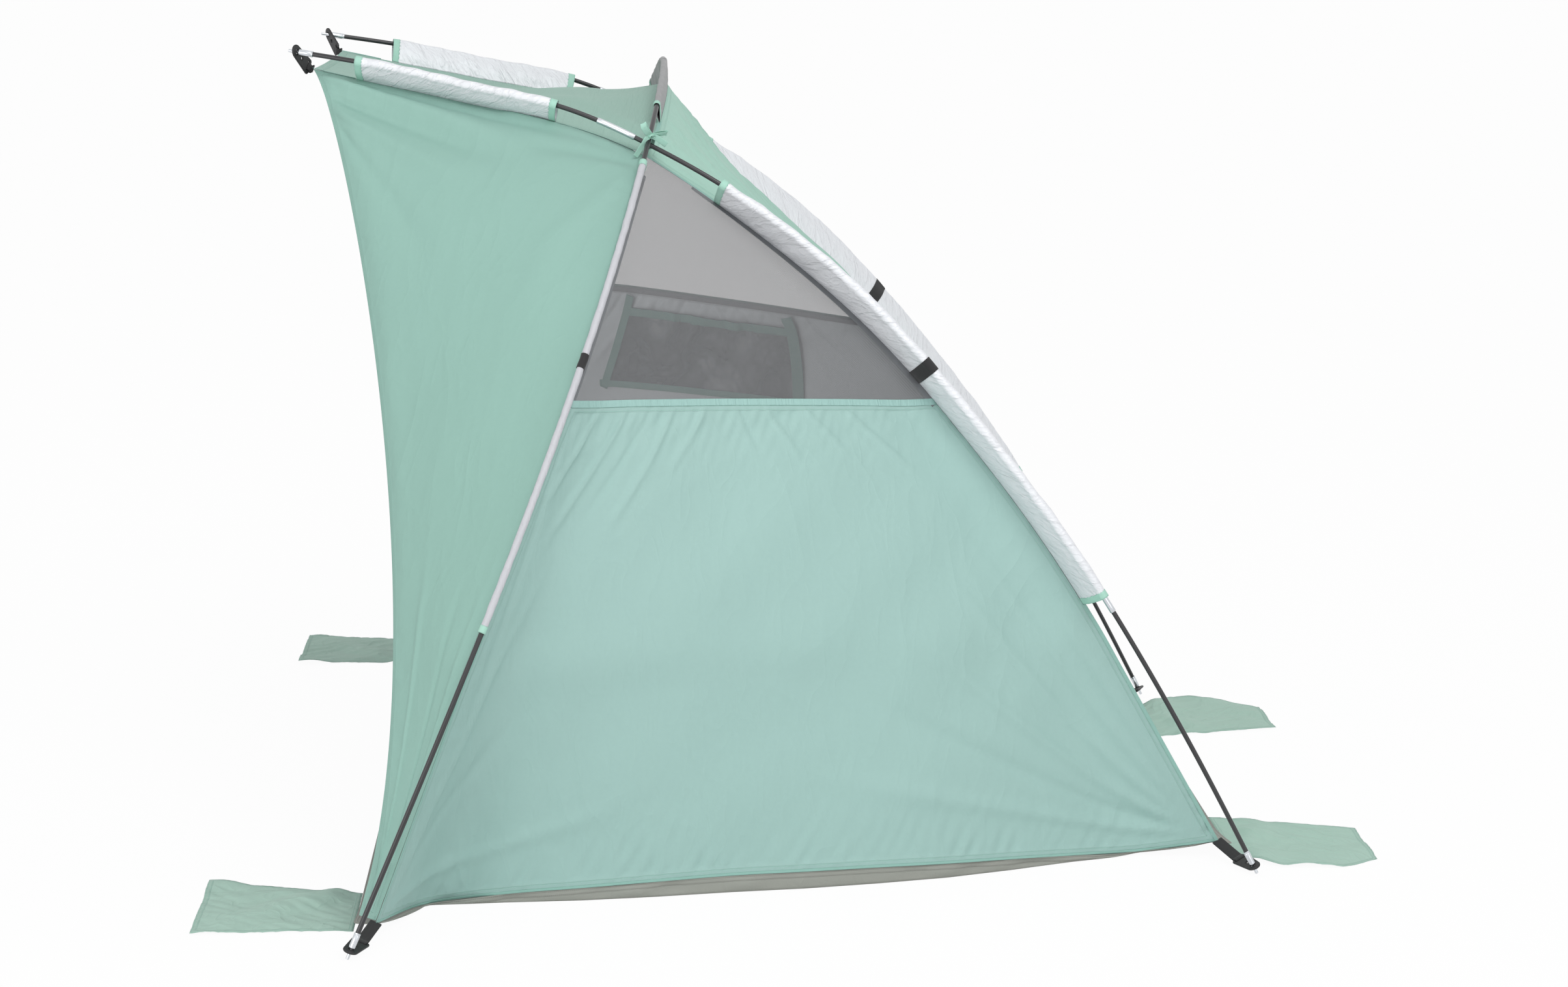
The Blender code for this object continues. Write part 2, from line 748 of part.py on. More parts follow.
def tab_frame(rail, tip, direction, corner):
    """Where a tab sits on its pin: hole centre, direction to the corner, width direction and normal."""
    low = rail.at(tip + direction * PIN_TOE_IN)
    high = rail.at(tip + direction * PIN_LENGTH)
    axis = unit(high - low)
    aim = unit(corner - rail.at(tip))
    square = unit(aim - np.dot(aim, axis) * axis)
    along = unit(square * (1.0 - TAB_TURN_SHARE) + aim * TAB_TURN_SHARE)
    wide = unit(np.cross(axis, along))
    normal = np.cross(along, wide)
    lean = math.acos(min(1.0, abs(float(np.dot(normal, axis)))))
    drop = TAB_THICKNESS / 2.0 / math.cos(lean) + FERRULE_DIAMETER / 2.0 * math.tan(lean) + TAB_SEAT_GAP
    return rail.at(tip + direction * (PIN_LENGTH - drop)), along, wide, normal


def webbing_outline(rise, length):
    """The folded webbing seen from its edge: an eye round the tab's bar and a double run to the corner."""
    left = TAB_LENGTH - TAB_BAR_WIDTH - WEBBING_GAP
    right = TAB_LENGTH + WEBBING_GAP
    half = TAB_THICKNESS / 2.0 + WEBBING_GAP
    join = np.array([right + WEBBING_JOIN * math.cos(rise), WEBBING_JOIN * math.sin(rise)])
    ahead = np.array([math.cos(rise), math.sin(rise)])
    aside = np.array([-math.sin(rise), math.cos(rise)])
    end = join + ahead * length
    thick = WEBBING_THICKNESS
    eye = [(left, -half), (right, -half), tuple(join), (right, half), (left, half)]
    outer = [(left - thick, -half - thick), (right, -half - thick), tuple(join - aside * thick)]
    outer += [tuple(end - aside * thick), tuple(end + aside * thick), tuple(join + aside * thick)]
    outer += [(right, half + thick), (left - thick, half + thick)]
    return outer, eye


# Hub ties


def tie_outline(half, low, high, stem):
    """A bow of tape in its own plane: a ring round both poles, a stem, a knot, two loops and two tails."""
    thick = TIE_THICKNESS
    knot = KNOT_WIDTH / 2.0
    base = high + thick
    side = [(thick / 2.0, low - thick - stem), (thick / 2.0, low - thick), (half + thick, low - thick)]
    side += [(half + thick, base), (knot, base), (knot, base + TAIL_RISE)]
    steps = np.linspace(0.0, 1.0, LOOP_STEPS)
    free = knot + TAIL_LENGTH - half - thick
    past = [max(0.0, knot + TAIL_LENGTH * s - half - thick) / free for s in steps]
    tail = [(knot + TAIL_LENGTH * s, base + TAIL_RISE - TAIL_DROOP * t * t) for s, t in zip(steps, past)]
    side += tail[1:]
    side += [(across, height + thick) for across, height in tail[::-1]]
    reach = LOOP_LENGTH / 2.0
    high_half = LOOP_HEIGHT / 2.0
    middle = base + KNOT_HEIGHT - high_half + thick / 2.0
    centre = knot + reach * LOOP_NECK_SHARE
    turn = np.linspace(-math.pi * LOOP_TURN_SHARE, math.pi * LOOP_TURN_SHARE, LOOP_STEPS * 2)
    side += [(centre + reach * math.cos(t), middle + high_half * math.sin(t)) for t in turn]
    side += [(knot, base + KNOT_HEIGHT)]
    turn = np.linspace(0.0, 2.0 * math.pi, LOOP_STEPS * 2, endpoint=False)
    hole = [(centre + (reach - thick) * math.cos(t), middle + (high_half - thick) * math.sin(t)) for t in turn]
    outer = side + [(-across, height) for across, height in side[::-1]]
    ring = [(-half, low), (half, low), (half, high), (-half, high)]
    return outer, [ring, hole, [(-across, height) for across, height in hole[::-1]]]


def tie_room(rail, place, aside, ahead):
    """How far a pole reaches aside within the tie's width, by its bend just before and after a place."""
    ends = rail.at(np.array([place - TIE_WIDTH, place + TIE_WIDTH])) - rail.at(place)
    slope = float(np.max(np.abs(ends @ aside) / np.abs(ends @ ahead)))
    return POLE_DIAMETER / 2.0 * math.hypot(1.0, slope) + TIE_WIDTH / 2.0 * slope + TIE_GAP


def hub_tie(hoop, side, hub_place, inner):
    """The tape that holds both poles to the cloth where they cross."""
    outward = -inner
    one = hoop.tangent.at(HUB_FROM_FOOT)
    other = side.tangent.at(hub_place)
    one = unit(one - np.dot(one, outward) * outward)
    other = unit(other - np.dot(other, outward) * outward)
    if np.dot(one, other) < 0.0:
        one = -one
    middle = unit(one + other)
    across = np.cross(outward, middle)
    half = max(tie_room(hoop, HUB_FROM_FOOT, across, middle), tie_room(side, hub_place, across, middle))
    low = -tie_room(side, hub_place, outward, middle)
    high = POLE_DIAMETER + HUB_CLEARANCE + tie_room(hoop, HUB_FROM_FOOT, outward, middle)
    stem = HUB_SEAM_DROP - TIE_STEM_GAP + low - TIE_THICKNESS
    outer, holes = tie_outline(half, low, high, stem)
    return plate(outer, holes, side.at(hub_place), across, outward, TIE_WIDTH)


# Floor and flaps


def lifted(points, corners):
    """How high the floor is drawn up at points near its corners."""
    height = np.zeros(points.shape[:-1])
    rise = CORNER_HEIGHT - FLOOR_THICKNESS - RIM_LEAST - HEM_GAP
    for corner in corners:
        away = np.linalg.norm(points[..., :2] - corner[:2], axis=-1) / CORNER_LIFT_REACH
        height = np.maximum(height, rise * np.clip(1.0 - away, 0.0, 1.0) ** 1.5)
    return height


def side_edge(front_corner, rear_corner):
    """The floor's right edge from the front corner to the rear one, drawn inwards between them."""
    shares = np.linspace(0.0, 1.0, SIDE_COLUMNS + 1)
    table = np.array(SIDE_EDGE_SHARES)
    cut = np.interp(shares, table[:, 0], table[:, 1])[:, None] * SIDE_EDGE_CUT
    run = (rear_corner - front_corner) * np.array([1.0, 1.0, 0.0])
    aside = unit(np.array([-run[1], run[0], 0.0]))
    flat = front_corner * np.array([1.0, 1.0, 0.0])
    return flat + run * shares[:, None] + aside * cut


def rim_height(count):
    """The rim's height above the floor at each column of the side wall, most in its middle."""
    shares = np.linspace(0.0, 1.0, count)
    first, last = RIM_SPAN_SHARES
    swell = np.sin(math.pi * np.clip((shares - first) / (last - first), 0.0, 1.0))
    return RIM_LEAST + RIM_HEIGHT * swell**0.7


def floor_grid(edge, rim, corners):
    """The floor's middle surface: flat, drawn up at its corners, with a rim along each side."""
    front_edge = 0.0
    rear_edge = corners[1][1] + FLOOR_REAR_MARGIN
    rows = []
    for row, (point, height) in enumerate(zip(edge, rim)):
        share = row / (len(edge) - 1)
        middle = front_edge + (rear_edge - front_edge) * share
        line = []
        for column in FLOOR_COLUMN_SHARES:
            flat = column < 1.0
            line.append(np.array([point[0] * column, middle if flat else point[1], 0.0]))
        right = np.array(line)
        if row == 0:
            right[-1] += unit(right[-2] - right[-1]) * FLOOR_TIP_INSET
        if row == len(edge) - 1:
            right[-1] += unit(right[-2] - right[-1]) * FLOOR_TIP_INSET
        right[:, 2] = lifted(right, corners) + FLOOR_THICKNESS / 2.0
        top = right[-1] + UP * height
        right = np.vstack([right, top])
        rows.append(np.vstack([(right * MIRROR_X)[::-1], right[1:]]))
    return np.array(rows)


def flap(root, inner, outer, forward, inner_shares, outer_shares):
    """A sand flap that lies on the ground, and the point on its hinge line."""
    width = outer - inner
    steps = np.linspace(0.0, 1.0, FLAP_STEPS + 1)
    inner_table = np.array(inner_shares)
    outer_table = np.array(outer_shares)
    low = inner + width * np.interp(steps, inner_table[:, 0], inner_table[:, 1])
    high = outer + width * np.interp(steps, outer_table[:, 0], outer_table[:, 1])
    across = np.linspace(0.0, 1.0, FLAP_STEPS + 1)[None, :]
    grid = np.zeros((FLAP_STEPS + 1, FLAP_STEPS + 1, 3))
    grid[..., 0] = low[:, None] + (high - low)[:, None] * across
    grid[..., 1] = root + forward * (FLAP_HINGE_GAP + FLAP_LENGTH * steps[:, None])
    wave = 0.5 - 0.5 * np.cos(2.0 * math.pi * (FLAP_WAVES * across + steps[:, None] * 0.5))
    grid[..., 2] = FLAP_RIPPLE * wave * np.minimum(1.0, steps[:, None] * 2.0)
    points, faces = slab(grid + UP * FLAP_THICKNESS, grid, FLAP_STEPS + 1, FLAP_STEPS + 1)
    hinge = np.array([(inner + outer) / 2.0, root, FLAP_THICKNESS])
    return points, faces, hinge


# The whole tent


def build():
    """Make every piece of the tent."""
    clear_scene()
    rear_floor = FOOT_DEPTH - REAR_CORNER_FORWARD + FLOOR_REAR_MARGIN
    BODY["middle"] = rear_floor / 2.0
    carbon = material("black_pole_finish", (38, 38, 40), 0.42, 0.0)
    steel = material("bright_steel", (203, 207, 210), 0.28, 1.0)
    plastic = material("black_plastic", (27, 27, 28), 0.5, 0.0)
    webbing = material("black_webbing", (32, 32, 33), 0.85, 0.0)
    mint = material("mint_cloth", (161, 199, 190), 0.75, 0.0)
    silver = material("silver_cloth", (216, 220, 222), 0.45, 0.0)
    grey = material("grey_cloth", (176, 176, 180), 0.6, 0.0)
    mesh = material("grey_mesh", (150, 151, 152), 0.8, 0.0)
    ground = material("grey_floor_cloth", (178, 176, 170), 0.8, 0.0)

    hoop = hoop_rail()
    side, hub_place, inner = side_rail(hoop)

    # Corners and seams of the right side
    awning = np.array(
        [
            AWNING_SPAN / 2.0 - AWNING_CORNER_IN,
            AWNING_CORNER_BACK - AWNING_REACH,
            AWNING_HEIGHT - AWNING_CORNER_DROP,
        ]
    )
    front = np.array([FRONT_SPAN / 2.0 - FRONT_CORNER_IN, FRONT_CORNER_BACK, CORNER_HEIGHT])
    rear = np.array([REAR_SPAN / 2.0 - REAR_CORNER_IN, FOOT_DEPTH - REAR_CORNER_FORWARD, CORNER_HEIGHT])
    junction = side.at(hub_place) + inner * HUB_SEAM_DROP

    ahead = side.places[: AWNING_STEPS + 1]
    front_line = side.at(ahead) + inward(side, ahead) * FRONT_BAND_WIDTH
    front_line[0] = awning
    front_line[-1] = junction
    behind = side.places[AWNING_STEPS:]
    rear_line = seam(side, behind, REAR_BAND_WIDTH, REAR_SEAM_SHARES, junction)
    rear_line = straight_end(rear_line, behind, REAR_SLEEVE_END, rear)
    down = hoop.places[: LOWER_STEPS + UPPER_STEPS + 1][::-1]
    leg_line = seam(hoop, down, LEG_BAND_WIDTH, LEG_SEAM_SHARES, junction)
    low_end = int(np.searchsorted(-down, -LEG_SLEEVE_START))
    rest = np.linspace(0.0, 1.0, len(down) - low_end)[:, None]
    leg_line[low_end:] = leg_line[low_end] + (front - leg_line[low_end]) * rest
    over = hoop.places[LOWER_STEPS + UPPER_STEPS : LOWER_STEPS + UPPER_STEPS + RIDGE_STEPS + 1]
    half_span = (over[-1] - over[0]) / 2.0
    table = np.array(RIDGE_SEAM_SHARES)
    near = 1.0 - np.abs(over - over[0] - half_span) / half_span
    factor = np.interp(near, table[:, 0], table[:, 1])[:, None]
    ridge_line = hoop.at(over) + inward(hoop, over) * RIDGE_BAND_WIDTH * factor
    ridge_line[0] = junction
    ridge_line[-1] = junction * MIRROR_X

    front_seam = Line(ahead, front_line)
    rear_seam = Line(behind, rear_line)
    leg_seam = Line(down[::-1], leg_line[::-1])
    ridge_seam = Line(over, ridge_line)

    # Hoop pole in sections, with a ferrule fused on the end of each but the last
    pitch = hoop.length / HOOP_SECTIONS
    start = PIN_LENGTH + BARREL_FLOOR + JOINT_GAP
    for index in range(HOOP_SECTIONS):
        low = start if index == 0 else pitch * index + JOINT_GAP
        last = index == HOOP_SECTIONS - 1
        high = hoop.length - start if last else pitch * (index + 1)
        add_object(f"hoop_pole_section_{index + 1}", *pole_section(hoop, low, high, not last), carbon)

    # Side poles in sections, with an open ferrule before the hub and one above the rear foot
    joints = [start, SIDE_FRONT_JOINT, SIDE_MIDDLE_JOINT, SIDE_REAR_JOINT, side.length - start]
    for index in range(len(joints) - 1):
        low = joints[index] + (JOINT_GAP if index else 0.0)
        high = joints[index + 1] - (JOINT_GAP if index in (0, 2) else 0.0)
        both_sides(f"side_pole_section_{index + 1}", *pole_section(side, low, high, index == 1), carbon)
    both_sides("front_ferrule", *ferrule(side, SIDE_FRONT_JOINT), steel)
    both_sides("rear_ferrule", *ferrule(side, SIDE_REAR_JOINT), steel)

    # Stepped pins, tabs and webbing at the six corners
    places = (
        ("front", hoop, 0.0, 1.0, front),
        ("rear", side, side.length, -1.0, rear),
        ("awning", side, 0.0, 1.0, awning),
    )
    for name, rail, tip, direction, corner in places:
        both_sides(f"{name}_pin_ferrule", *end_ferrule(rail, tip, direction), steel)
        origin, along, wide, normal = tab_frame(rail, tip, direction, corner)
        holes = [
            round_hole((0.0, 0.0), TAB_PIN_HOLE),
            round_hole((TAB_HOLE_PITCH, 0.0), TAB_SMALL_HOLE),
            slot_outline(),
        ]
        both_sides(
            f"{name}_corner_tab",
            *plate(tab_outline(), holes, origin, along, wide, TAB_THICKNESS),
            plastic,
        )
        to_corner = corner - (origin + along * (TAB_LENGTH + WEBBING_GAP))
        length = np.linalg.norm(to_corner) - WEBBING_JOIN - WEBBING_CORNER_GAP
        rise = math.degrees(math.atan2(np.dot(to_corner, normal), np.dot(to_corner, along)))
        rise -= WEBBING_SHORT_PASS if length < WEBBING_LEAST else 0.0
        rise = math.radians(min(max(rise, -WEBBING_MOST_RISE), WEBBING_MOST_RISE))
        outer, eye = webbing_outline(rise, max(length, WEBBING_LEAST))
        both_sides(
            f"{name}_corner_webbing",
            *plate(outer, [eye], origin, along, normal, WEBBING_WIDTH),
            webbing,
            smooth=False,
        )

    # Pole sleeves
    both_sides(
        "front_pole_sleeve", *sleeve(side, front_seam, FRONT_SLEEVE_START, FRONT_SLEEVE_END, None), silver
    )
    both_sides(
        "rear_pole_sleeve",
        *sleeve(side, rear_seam, REAR_SLEEVE_START, REAR_SLEEVE_END, REAR_STRAP_PLACE),
        silver,
    )
    both_sides(
        "leg_pole_sleeve",
        *sleeve(hoop, leg_seam, LEG_SLEEVE_START, LEG_SLEEVE_END, LEG_STRAP_PLACE),
        grey,
    )
    fin_start = HUB_FROM_FOOT + RIDGE_SLEEVE_FROM_HUB
    add_object("ridge_pole_sleeve", *sleeve(hoop, ridge_seam, fin_start, hoop.length - fin_start, None), grey)
    both_sides("hub_tie", *hub_tie(hoop, side, hub_place, inner), mint, smooth=False)

    # Roof, wings, side walls and rear wall
    heart = np.array(HEART_SHARES) * np.array([FRONT_SPAN, FOOT_DEPTH, HOOP_HEIGHT])
    clear = SEAM_CLEARANCE
    down_shares = np.linspace(0.0, 1.0, LOWER_STEPS + UPPER_STEPS + 1)
    closing = clear + (CORNER_CLEARANCE - clear) * down_shares**CORNER_POWER
    sewn = HEM_GAP / 2.0
    across = np.linspace(0.0, 1.0, RIDGE_STEPS + 1)[:, None]
    ridge = ridge_line[::-1]
    roof_front = awning * MIRROR_X + (awning - awning * MIRROR_X) * across
    roof = coons(roof_front, ridge, front_line * MIRROR_X, front_line)
    roof = roof - UP * ROOF_SAG * hump(roof)[..., None]
    roof = roof + grid_normals(roof) * (FOLD_DEPTH * hump(roof) * folds(roof, ROOF_FOLDS, 0.0))[..., None]
    add_object("roof_awning", *sheet(drawn_in(roof, (AWNING_EDGE_CLEARANCE, clear, clear, clear)), CLOTH_THICKNESS), mint)

    edge = side_edge(front, rear)
    rim = rim_height(SIDE_COLUMNS + 1)
    corners = [front, rear]
    hem = edge.copy()
    hem[:, 2] = lifted(edge, corners) + FLOOR_THICKNESS / 2.0 + rim + FLOOR_THICKNESS / 2.0 + HEM_GAP
    hem[0] = front
    hem[-1] = rear

    across = np.linspace(0.0, 1.0, RIDGE_STEPS + 1)[:, None]
    foot = rear * MIRROR_X + (rear - rear * MIRROR_X) * across
    foot[:, 1] += FLOOR_REAR_MARGIN * REAR_FOOT_SHARE * np.sin(math.pi * across[:, 0])
    foot[:, 2] = lifted(foot, [rear, rear * MIRROR_X]) + FLOOR_THICKNESS + CLOTH_THICKNESS + REAR_FOOT_PLAY
    foot[0, 2] = CORNER_HEIGHT
    foot[-1, 2] = CORNER_HEIGHT
    back = coons(ridge, foot, rear_line * MIRROR_X, rear_line)
    back = back + unit(heart - back) * (REAR_SAG * hump(back))[..., None]
    back = back + grid_normals(back) * (FOLD_DEPTH * hump(back) * folds(back, REAR_FOLDS, 0.0))[..., None]
    add_object("rear_wall", *sheet(drawn_in(back, (clear, sewn, clear, clear)), CLOTH_THICKNESS), mint)

    wing_foot = front + np.array([-WING_FOOT_IN, -WING_FOOT_AHEAD, WING_FOOT_RISE])
    wing_box = wing_foot - awning
    wing_edge = awning + bezier(WING_EDGE_SHARES, np.linspace(0.0, 1.0, len(leg_line))) * wing_box
    wing = ruled(wing_edge, leg_line, front_line, None, 2.0)
    wing = wing + grid_normals(wing) * (FOLD_DEPTH * hump(wing) * folds(wing, WING_FOLDS, 0.4))[..., None]
    both_sides("wing", *sheet(drawn_in(wing, (clear, WING_FOOT_RISE / 2.0, 0.0, closing)), CLOTH_THICKNESS), mint)

    wall = ruled(leg_line, rear_line, None, hem, 2.0)
    wall = wall + unit(heart - wall) * (SIDE_SAG * hump(wall))[..., None]
    window = wall[: UPPER_STEPS + 1].copy()
    first_run = np.linalg.norm(window[1] - window[0], axis=-1)[:, None]
    window[0] = window[0] + (window[1] - window[0]) * TIP_LENGTH / first_run
    both_sides("mesh_window", *sheet(drawn_in(window, (0.0, sewn, clear, clear)), CLOTH_THICKNESS), mesh)
    lower = wall[UPPER_STEPS:]
    rising = np.linspace(0.0, 1.0, LOWER_STEPS + 1)[:, None]
    wave = FOLD_DEPTH * hump(lower) * folds(lower, SIDE_FOLDS, 0.5) * rising
    lower = lower + grid_normals(lower) * wave[..., None]
    side_wall = drawn_in(lower, (sewn, sewn, closing[UPPER_STEPS:], clear))
    both_sides("side_wall", *sheet(side_wall, CLOTH_THICKNESS), mint)

    # Mesh pocket on the inside of the left wall
    first_row, last_row = (round(share * LOWER_STEPS) for share in POCKET_ROW_SHARES)
    first_column, last_column = (round(share * SIDE_COLUMNS) for share in POCKET_COLUMN_SHARES)
    normals = grid_normals(side_wall)
    inside = np.sign(np.sum(normals * (heart - side_wall), axis=-1, keepdims=True))
    nearest = side_wall + normals * inside * (CLOTH_THICKNESS / 2.0 + POCKET_GAP)
    farthest = nearest + normals * inside * POCKET_THICKNESS
    block = (slice(first_row, last_row + 1), slice(first_column, last_column + 1))
    points, faces = slab(
        farthest[block], nearest[block], last_row - first_row + 1, last_column - first_column + 1
    )
    add_object("mesh_pocket", points * MIRROR_X, faces, mesh)

    # Floor and sand flaps
    add_object("floor", *sheet(floor_grid(edge, rim, corners), FLOOR_THICKNESS), ground)
    outer = FRONT_SPAN / 2.0 - FRONT_FLAP_FROM_PIN
    points, faces, hinge = flap(
        0.0, outer - FRONT_FLAP_WIDTH, outer, -1.0, FRONT_FLAP_INNER_SHARES, FRONT_FLAP_OUTER_SHARES
    )
    both_sides("front_sand_flap", points, faces, mint, hinge)
    outer = REAR_SPAN / 2.0 - REAR_FLAP_FROM_PIN
    points, faces, hinge = flap(
        rear_floor, outer - REAR_FLAP_WIDTH, outer, 1.0, REAR_FLAP_INNER_SHARES, REAR_FLAP_OUTER_SHARES
    )
    both_sides("rear_sand_flap", points, faces, mint, hinge)


build()
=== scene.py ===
"""Beach tent, dressed for its picture: cloth, netting, poles, fittings, floor, flaps, light and camera.

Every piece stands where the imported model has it. Lines are worked out from the same sizes as the solids,
the cloth is computed as dense grids, and each finish is built from shader nodes.
"""

import logging
import math
from dataclasses import dataclass, field
from enum import Enum

import bmesh
import bpy
import numpy as np
from mathutils import Matrix, Vector


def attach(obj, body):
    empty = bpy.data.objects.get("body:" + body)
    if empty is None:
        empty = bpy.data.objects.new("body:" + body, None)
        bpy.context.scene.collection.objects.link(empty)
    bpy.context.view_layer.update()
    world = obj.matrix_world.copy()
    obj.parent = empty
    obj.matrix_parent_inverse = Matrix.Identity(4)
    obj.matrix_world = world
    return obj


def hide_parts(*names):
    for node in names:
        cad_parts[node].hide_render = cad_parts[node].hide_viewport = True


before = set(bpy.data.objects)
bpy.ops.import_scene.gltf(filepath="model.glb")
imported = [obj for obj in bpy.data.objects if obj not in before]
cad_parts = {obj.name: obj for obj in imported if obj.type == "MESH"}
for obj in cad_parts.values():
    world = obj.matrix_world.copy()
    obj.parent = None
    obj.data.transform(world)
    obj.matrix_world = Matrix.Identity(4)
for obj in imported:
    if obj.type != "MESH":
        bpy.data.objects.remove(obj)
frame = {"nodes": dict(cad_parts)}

Array = np.ndarray
Piece = bpy.types.Object
Material = bpy.types.Material
Socket = bpy.types.NodeSocket
Colour = tuple[int, int, int]
Point = tuple[float, float, float]

log = logging.getLogger("beach_tent")

MIRROR = np.array([-1.0, 1.0, 1.0])
UP = np.array([0.0, 0.0, 1.0])
NOISE_WAVES = 7
TAPE_SIDES = 20
TAPE_THICKNESS = 0.0008
NET_THICKNESS = 0.0004
SLEEVE_POINTS = 64
FULL_CUT = 0.98
HEM_STEP = 0.0006
MERGED = 1e-6


class Side(Enum):
    """The two sides of the tent, with the factor that X takes there."""

    RIGHT = 1.0
    LEFT = -1.0

    @property
    def word(self) -> str:
        """The side's ending in names."""
        return self.name.lower()


class Slot(Enum):
    """The record's material slots."""

    POLE = "pole"
    STEEL = "steel"
    PLASTIC = "plastic"
    WEBBING = "webbing"
    SILVER = "silver_cloth"
    GREY = "grey_cloth"
    MINT = "mint_cloth"
    MESH = "mesh"
    FLOOR = "floor_cloth"


class Held(Enum):
    """How a sheet of cloth is held."""

    STRETCHED = "stretched"
    GATHERED = "gathered"
    LAID = "laid"
    HUNG = "hung"
    FOLDED = "folded"


# Numbers and curves


def unit(vectors: Array) -> Array:
    """Vectors scaled to length one.

    Args:
        vectors: Any array whose last axis holds the coordinates.

    Returns:
        The vectors divided by their lengths.
    """
    length = np.linalg.norm(vectors, axis=-1, keepdims=True)
    return vectors / np.maximum(length, 1e-12)


def square(vectors: Array, axis: Array) -> Array:
    """Unit vectors made square to an axis."""
    return unit(vectors - np.sum(vectors * axis, axis=-1, keepdims=True) * axis)


def turned_to(vectors: Array, way: Array) -> Array:
    """Vectors, turned over where they point against a way."""
    return vectors * np.sign(np.sum(vectors * way, axis=-1, keepdims=True))


def ease(values: Array, low: float, high: float) -> Array:
    """A smooth step: zero below low, one above high, and 3t^2 - 2t^3 between them.

    Args:
        values: The values to step.
        low: Where the step starts.
        high: Where it ends.

    Returns:
        The step's height at each value.
    """
    share = np.clip((values - low) / (high - low), 0.0, 1.0)
    return share * share * (3.0 - 2.0 * share)


def run_along(points: Array, axis: int = 0) -> Array:
    """The way run along chains of points, from zero.

    Args:
        points: Points, with their coordinates on the last axis.
        axis: The axis along which the chains go.

    Returns:
        The run at each point.
    """
    steps = np.linalg.norm(np.diff(points, axis=axis), axis=-1)
    start = np.zeros_like(np.take(steps, [0], axis=axis))
    return np.concatenate([start, np.cumsum(steps, axis=axis)], axis=axis)


def bezier(control: Array, shares: Array) -> Array:
    """A Bezier curve: the sum of control points weighted by binomial(n, i) t^i (1 - t)^(n - i).

    Args:
        control: The control points.
        shares: The shares t of the way.

    Returns:
        One point for each share.
    """
    control = np.asarray(control, float)
    degree = len(control) - 1
    power = np.arange(degree + 1)
    choose = np.array([math.comb(degree, k) for k in power], float)
    t = np.asarray(shares, float)[:, None]
    weights = choose * t**power * (1.0 - t) ** (degree - power)
    return weights @ control


def natural_spline(knots: Array, values: Array, places: Array) -> Array:
    """A natural cubic spline, found from the linear system of its bends at the knots.

    Args:
        knots: Growing places of the known values.
        values: The values, one row for each knot.
        places: Where the curve is read.

    Returns:
        One row for each place.
    """
    knots = np.asarray(knots, float)
    values = np.asarray(values, float).reshape(len(knots), -1)
    spans = np.diff(knots)
    size = len(knots)
    inner = np.arange(1, size - 1)
    matrix = np.eye(size)
    matrix[inner, inner - 1] = spans[:-1]
    matrix[inner, inner] = 2.0 * (spans[:-1] + spans[1:])
    matrix[inner, inner + 1] = spans[1:]
    slopes = np.diff(values, axis=0) / spans[:, None]
    right = np.zeros_like(values)
    right[inner] = 6.0 * np.diff(slopes, axis=0)
    bends = np.linalg.solve(matrix, right)
    places = np.clip(np.asarray(places, float), knots[0], knots[-1])
    span = np.clip(np.searchsorted(knots, places, side="right") - 1, 0, size - 2)
    width = spans[span][:, None]
    before = (knots[span + 1] - places)[:, None]
    after = (places - knots[span])[:, None]
    curve = (bends[span] * before**3 + bends[span + 1] * after**3) / (6.0 * width)
    curve += (values[span] / width - bends[span] * width / 6.0) * before
    return curve + (values[span + 1] / width - bends[span + 1] * width / 6.0) * after


def smooth_rows(control: Array, where: Array) -> Array:
    """Catmull-Rom rows: half of 2p1 + (p2-p0)t + (2p0-5p1+4p2-p3)t^2 + (3p1-p0-3p2+p3)t^3 between p1 and p2.

    Args:
        control: Rows of values of any shape.
        where: Row numbers, whole or not, at which the rows are read.

    Returns:
        One row for each number.
    """
    last = len(control) - 1
    low = 2.0 * control[:1] - control[1:2]
    high = 2.0 * control[-1:] - control[-2:-1]
    held = np.concatenate([low, control, high])
    base = np.clip(np.floor(where).astype(int), 0, last - 1)
    t = (where - base).reshape(-1, *([1] * (control.ndim - 1)))
    p0, p1, p2, p3 = (held[base + k] for k in range(4))
    bend = (2.0 * p0 - 5.0 * p1 + 4.0 * p2 - p3) * t**2 + (3.0 * p1 - p0 - 3.0 * p2 + p3) * t**3
    return 0.5 * (2.0 * p1 + (p2 - p0) * t + bend)


def smooth_grid(control: Array, rows: Array, columns: Array) -> Array:
    """A grid read between its points by Catmull-Rom curves, first down its rows and then across them.

    Args:
        control: The coarse grid of points.
        rows: Row numbers of the finer grid.
        columns: Column numbers of the finer grid.

    Returns:
        The finer grid.
    """
    down = smooth_rows(control, rows)
    return smooth_rows(down.swapaxes(0, 1), columns).swapaxes(0, 1)


def grid_normals(grid: Array) -> Array:
    """Unit normals of a grid: the cross product of its steps across and down."""
    return unit(np.cross(np.gradient(grid, axis=1), np.gradient(grid, axis=0)))


def soft_noise(first: Array, second: Array, pitch: float, seed: int) -> Array:
    """A soft random height from -1 to 1: a mean of sine waves in random directions, near one wavelength.

    Args:
        first: Metres across the surface.
        second: Metres down the surface.
        pitch: The mean wavelength in metres.
        seed: The seed of the directions, lengths and phases.

    Returns:
        The height at each point.
    """
    draw = np.random.default_rng(seed)
    turn = draw.uniform(0.0, math.pi, NOISE_WAVES)
    long = 2.0 * math.pi / (pitch * draw.uniform(0.7, 1.5, NOISE_WAVES))
    phase = draw.uniform(0.0, 2.0 * math.pi, NOISE_WAVES)
    spread = np.multiply.outer(first, long * np.cos(turn)) + np.multiply.outer(second, long * np.sin(turn))
    return np.sin(spread + phase).sum(axis=-1) / math.sqrt(NOISE_WAVES) / 1.4


